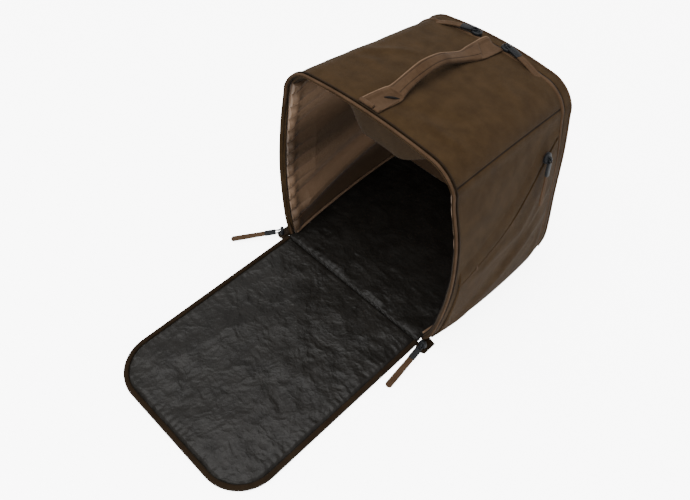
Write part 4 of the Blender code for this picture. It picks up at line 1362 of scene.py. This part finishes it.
def make_handle_mounts():
    """Flush cloth along the top under the handle, and the strap's sewn ends."""
    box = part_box("handle_base_webbing")
    ys = np.linspace(box[0].y, box[1].y, 130)
    half = 0.0200
    x = np.linspace(-half, half, 40)
    rows_top, rows_bottom = [], []
    for y in ys:
        base = crest(y) - 0.0003 - 0.3 * np.abs(x) ** 2
        feather = np.clip((half - np.abs(x)) / half, 0, 1)
        rows_top.append(np.stack([x, np.full_like(x, y), base + 0.0006 * feather - 0.0006], axis=1))
        rows_bottom.append(np.stack([x, np.full_like(x, y), base - 0.0016], axis=1))
    web = cloth("handle_base_strap", np.array(rows_top), np.array(rows_bottom), CANVAS, "bag")
    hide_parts("handle_base_webbing")
    y = HANDLE_FRONT - 0.0185
    xs = np.linspace(-0.0155, 0.0070, 30)
    path = np.array([(x, y + 0.06 * abs(x), crest(y) + 0.0030 + 0.0012 * math.cos(90 * x)) for x in xs])
    fold = sweep("handle_front_fold", path, (0, 0, 1), superellipse(0.0030, 0.0026, 2.8, 20), WEBBING, "bag")
    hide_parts("handle_front_anchor")
    path = np.array([(x, y + 0.0010, crest(y) + 0.0022) for x in np.linspace(0.0092, 0.0172, 14)])
    tab = sweep("handle_front_tab", path, (0, 0, 1), superellipse(0.0032, 0.0020, 2.8, 20), WEBBING, "bag")
    y = HANDLE_BACK + 0.0215
    path = np.array([(x, y - 0.10 * (0.022 - x), crest(y) + 0.0024) for x in np.linspace(0.0000, 0.0225, 26)])
    rear = sweep("handle_rear_fold", path, (0, 0, 1), superellipse(0.0030, 0.0018, 2.8, 20), WEBBING, "bag")
    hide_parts("handle_rear_anchor")
    for name, x, y0, y1 in (("front", 0.0186, -0.0120, 0.0160), ("rear", 0.0224, 0.1900, 0.2280)):
        path = [(x, HANDLE_FRONT + y, crest(HANDLE_FRONT + y) + 0.0030) for y in np.linspace(y0, y1, 24)]
        row = many(
            f"handle_{name}_stitch", path, (0, 0, 1), (0.0024, 0.0006, 0.0005), THREAD_DARK, "bag", 0.0034
        )


# ---------------------------------------------------------------- sliders and pulls


def local_frame(origin, lengthwise, outwards):
    z = Vector(outwards).normalized()
    x = Vector(lengthwise)
    x = (x - x.dot(z) * z).normalized()
    matrix = Matrix((x, z.cross(x), z)).transposed().to_4x4()
    matrix.translation = origin
    return matrix


def placing(origin, lengthwise, outwards):
    """A function that puts points given along, across and out of a part where that part is."""
    matrix = local_frame(origin, lengthwise, outwards)

    def place(points):
        points = np.asarray(points, float)
        moved = np.array([matrix @ Vector(p) for p in points.reshape(-1, 3)])
        return moved.reshape(points.shape)

    return place


def pull_joint(name):
    return next(joint for joint in frame["joints"] if joint["name"] == f"{name}_pull_swing")


def slide_joint(name):
    return next(joint for joint in frame["joints"] if joint["name"] == f"{name}_slide")


def rest_direction(name):
    """Which way a pull points at rest: from its hinge to the middle of its loop."""
    low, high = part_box(f"{name}_pull_loop")
    return (low + high) / 2 - Vector(pull_joint(name)["pos_m"])


def make_slider(name):
    """A shaped slider with a bridge, a ribbed moulded pull end and a folded loop of webbing."""
    low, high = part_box(f"{name}_slider")
    middle = (low + high) / 2
    joint = pull_joint(name)
    hinge = Vector(joint["pos_m"])
    direction = rest_direction(name).normalized()
    outwards = Vector(joint["axis"]).cross(direction)
    if "pocket" in name:
        turn = math.radians(25)
        direction = (math.cos(turn) * direction + math.sin(turn) * Vector((0, -1, 0))).normalized()
    travel = Vector(slide_joint(name)["axis"]).normalized()
    normal = hinge - middle
    normal = (normal - normal.dot(travel) * travel).normalized()
    body = placing(hinge - normal * 0.0046, travel, normal)
    rows = []
    for x in np.linspace(-0.0086, 0.0086, 28):
        end = math.sqrt(max(0.0, 1 - (abs(x) / 0.0088) ** 6))
        half = (0.0056 + 0.0010 * math.cos(math.pi * x / 0.0110)) * end + 0.0003
        rows.append([(x, a, b) for a, b in superellipse(half, 0.0030 * (0.55 + 0.45 * end), 3.6, 26)])
    shell = rod(f"{name}_slider_body", body(rows), PLASTIC, f"{name}_slider")
    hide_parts(f"{name}_slider")
    arch_line = [(-0.0050, 0.0, 0.0018), (-0.0045, 0.0, 0.0050), (-0.0022, 0.0, 0.0066)]
    arch_line += [(-x, y, z) for x, y, z in arch_line[::-1]]
    # The bridge stands across the pull's own hinge: along the zip, or across it on the pockets.
    order = [1, 0, 2] if "pocket" in name else [0, 1, 2]
    bridge_path = body(even_path(smooth(arch_line, 6), 0.0007)[:, order])
    across = tuple(body([np.array([0.0, 1.0, 0.0])[order]])[0] - body([(0.0, 0.0, 0.0)])[0])
    bridge_outline = superellipse(0.0006, 0.0014, 3.0, 12)
    bridge = sweep(f"{name}_bridge", bridge_path, across, bridge_outline, PLASTIC, f"{name}_slider")

    placed = placing(hinge, direction, outwards)
    tab_rows = []
    length, half_width = 0.0265, 0.0056
    for x in np.linspace(0.0066, length, 70):
        rib_height = 0.0006 * (math.sin(2 * math.pi * (x - 0.0062) / 0.0026) > 0)
        end = min(1, (length - x) / 0.0015 + 0.35) * min(1, (x - 0.0066) / 0.0012 + 0.5)
        outline = superellipse(half_width * end, 0.0017 + rib_height, 3.4, 20)
        tab_rows.append([(x, a, b) for a, b in outline])
    tab = rod(f"{name}_tab", placed(tab_rows), PLASTIC, f"{name}_pull")
    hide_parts(f"{name}_pull_tab")
    lift = tuple(placed([(0.0, 0.0, 1.0)])[0] - placed([(0.0, 0.0, 0.0)])[0])
    straight = placing(hinge, rest_direction(name), outwards)
    for side, letter in ((-1, "a"), (1, "b")):
        arm = [(x, side * (0.0029 + 0.03 * x), 0.0) for x in np.linspace(0.0, 0.0080, 10)]
        eye_outline = superellipse(0.0012, 0.0013, 2.4, 12)
        eye = sweep(f"{name}_eye_{letter}", straight(arm), lift, eye_outline, PLASTIC, f"{name}_pull")
    bar = straight([(0.0, y, 0.0) for y in np.linspace(-0.0031, 0.0031, 8)])
    cross = sweep(f"{name}_bar", bar, lift, superellipse(0.0008, 0.0008, 2.0, 10), PLASTIC, f"{name}_pull")

    sign = 1 if Vector(lift).dot(normal) > 0 else -1
    droop = PULL_DROOP.get(name.split("_")[0], 0.0) * sign
    start, end, spread = length - 0.0026, (0.0700 if "pocket" in name else 0.0840), 0.0027
    half_turn = [math.radians(-90 + 180 * n / 14) for n in range(15)]
    lengths = np.linspace(start, end - 0.0040, 24)
    out_leg = [(x, -0.0022 - (spread - 0.0022) * min(1, (x - start) / 0.040)) for x in lengths]
    tip = [(end - 0.0040 + 0.0026 * math.cos(a), (spread + 0.0003) * math.sin(a)) for a in half_turn]
    back_leg = [(x, -y) for x, y in out_leg[::-1]]
    line = [(x, y, -droop * ((x - start) / 0.060) ** 2) for x, y in out_leg + tip[1:-1] + back_leg]
    outline = superellipse(0.0028, 0.0012, 3.4, 18)
    loop = sweep(f"{name}_loop", placed(line), lift, outline, WEBBING, f"{name}_pull")
    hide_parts(f"{name}_pull_loop")


# ---------------------------------------------------------------- stage


def make_stage():
    bpy.ops.mesh.primitive_plane_add(size=12, location=(0, 0, -0.0006))
    floor = bpy.context.object
    floor.name = "floor"
    material, tree, shader = new_material("pale_floor", 0.9, 0.0, 0.2)
    shader.inputs["Base Color"].default_value = (0.95, 0.95, 0.95, 1)
    shader.inputs["Emission Color"].default_value = (1.0, 1.0, 1.0, 1)
    ray = node(tree, "ShaderNodeLightPath")
    glow = node(tree, "ShaderNodeMath", operation="MULTIPLY_ADD")
    glow.inputs[1].default_value = 6.0
    glow.inputs[2].default_value = 0.45
    tree.links.new(ray.outputs["Is Camera Ray"], glow.inputs[0])
    tree.links.new(glow.outputs[0], shader.inputs["Emission Strength"])
    floor.data.materials.append(material)
    world = bpy.data.worlds.new("studio")
    world.use_nodes = True
    world.node_tree.nodes["Background"].inputs["Color"].default_value = (1.0, 1.0, 1.0, 1)
    world.node_tree.nodes["Background"].inputs["Strength"].default_value = 1.10
    bpy.context.scene.world = world
    lights = (
        ("key", (-0.35, -0.75, 2.8), (0, -0.1, 0.1), 2.4, 122),
        ("right_front", (0.75, -2.0, 0.95), (-0.15, 0.05, 0.08), 0.6, 22),
        ("back", (0.4, 2.2, 1.7), (0, 0.0, 0.2), 1.6, 30),
    )
    for name, place, target, size, power in lights:
        data = bpy.data.lights.new(name, "AREA")
        data.size = size
        data.energy = power
        lamp = bpy.data.objects.new(name, data)
        lamp.location = place
        aim = Vector(target) - Vector(place)
        lamp.rotation_mode = "QUATERNION"
        lamp.rotation_quaternion = aim.to_track_quat("-Z", "Y")
        bpy.context.scene.collection.objects.link(lamp)


def make_camera():
    """Above the front right of the bag, looking down at it."""
    azimuth, elevation, roll = (math.radians(a) for a in (42.57, 51.36, 2.68))
    back = Vector(
        (
            math.sin(azimuth) * math.cos(elevation),
            -math.cos(azimuth) * math.cos(elevation),
            math.sin(elevation),
        )
    )
    right = (-back).cross(Vector((0, 0, 1))).normalized()
    up = right.cross(-back)
    across = right * math.cos(roll) + up * math.sin(roll)
    upwards = up * math.cos(roll) - right * math.sin(roll)
    data = bpy.data.cameras.new("camera")
    data.sensor_width = 36
    data.lens = 35.85
    camera = bpy.data.objects.new("camera", data)
    bpy.context.scene.collection.objects.link(camera)
    matrix = Matrix((across, upwards, back)).transposed().to_4x4()
    matrix.translation = (0.4432, -0.6488, 0.9327)
    camera.matrix_world = matrix
    bpy.context.scene.camera = camera


# ---------------------------------------------------------------- build

make_camera()
make_stage()
make_top_panel()
for side, name in ((-1, "left"), (1, "right")):
    make_side_panel(side, name)
    make_pocket(side, name)
    make_side_lining(side, name)
make_seams()
make_top_lining()
make_floor()
make_base()
make_mouth()
make_front_panel()
make_hinge()
make_rear_zip()
make_rear_cover()
make_handle_mounts()
make_handle()
for name in ("mouth_left", "mouth_right", "rear_left", "rear_right", "left_pocket", "right_pocket"):
    make_slider(name)
for name in ("front_panel_foam", "rear_cover_foam"):
    frame["nodes"][name].data.materials.clear()
    frame["nodes"][name].data.materials.append(FOAM)
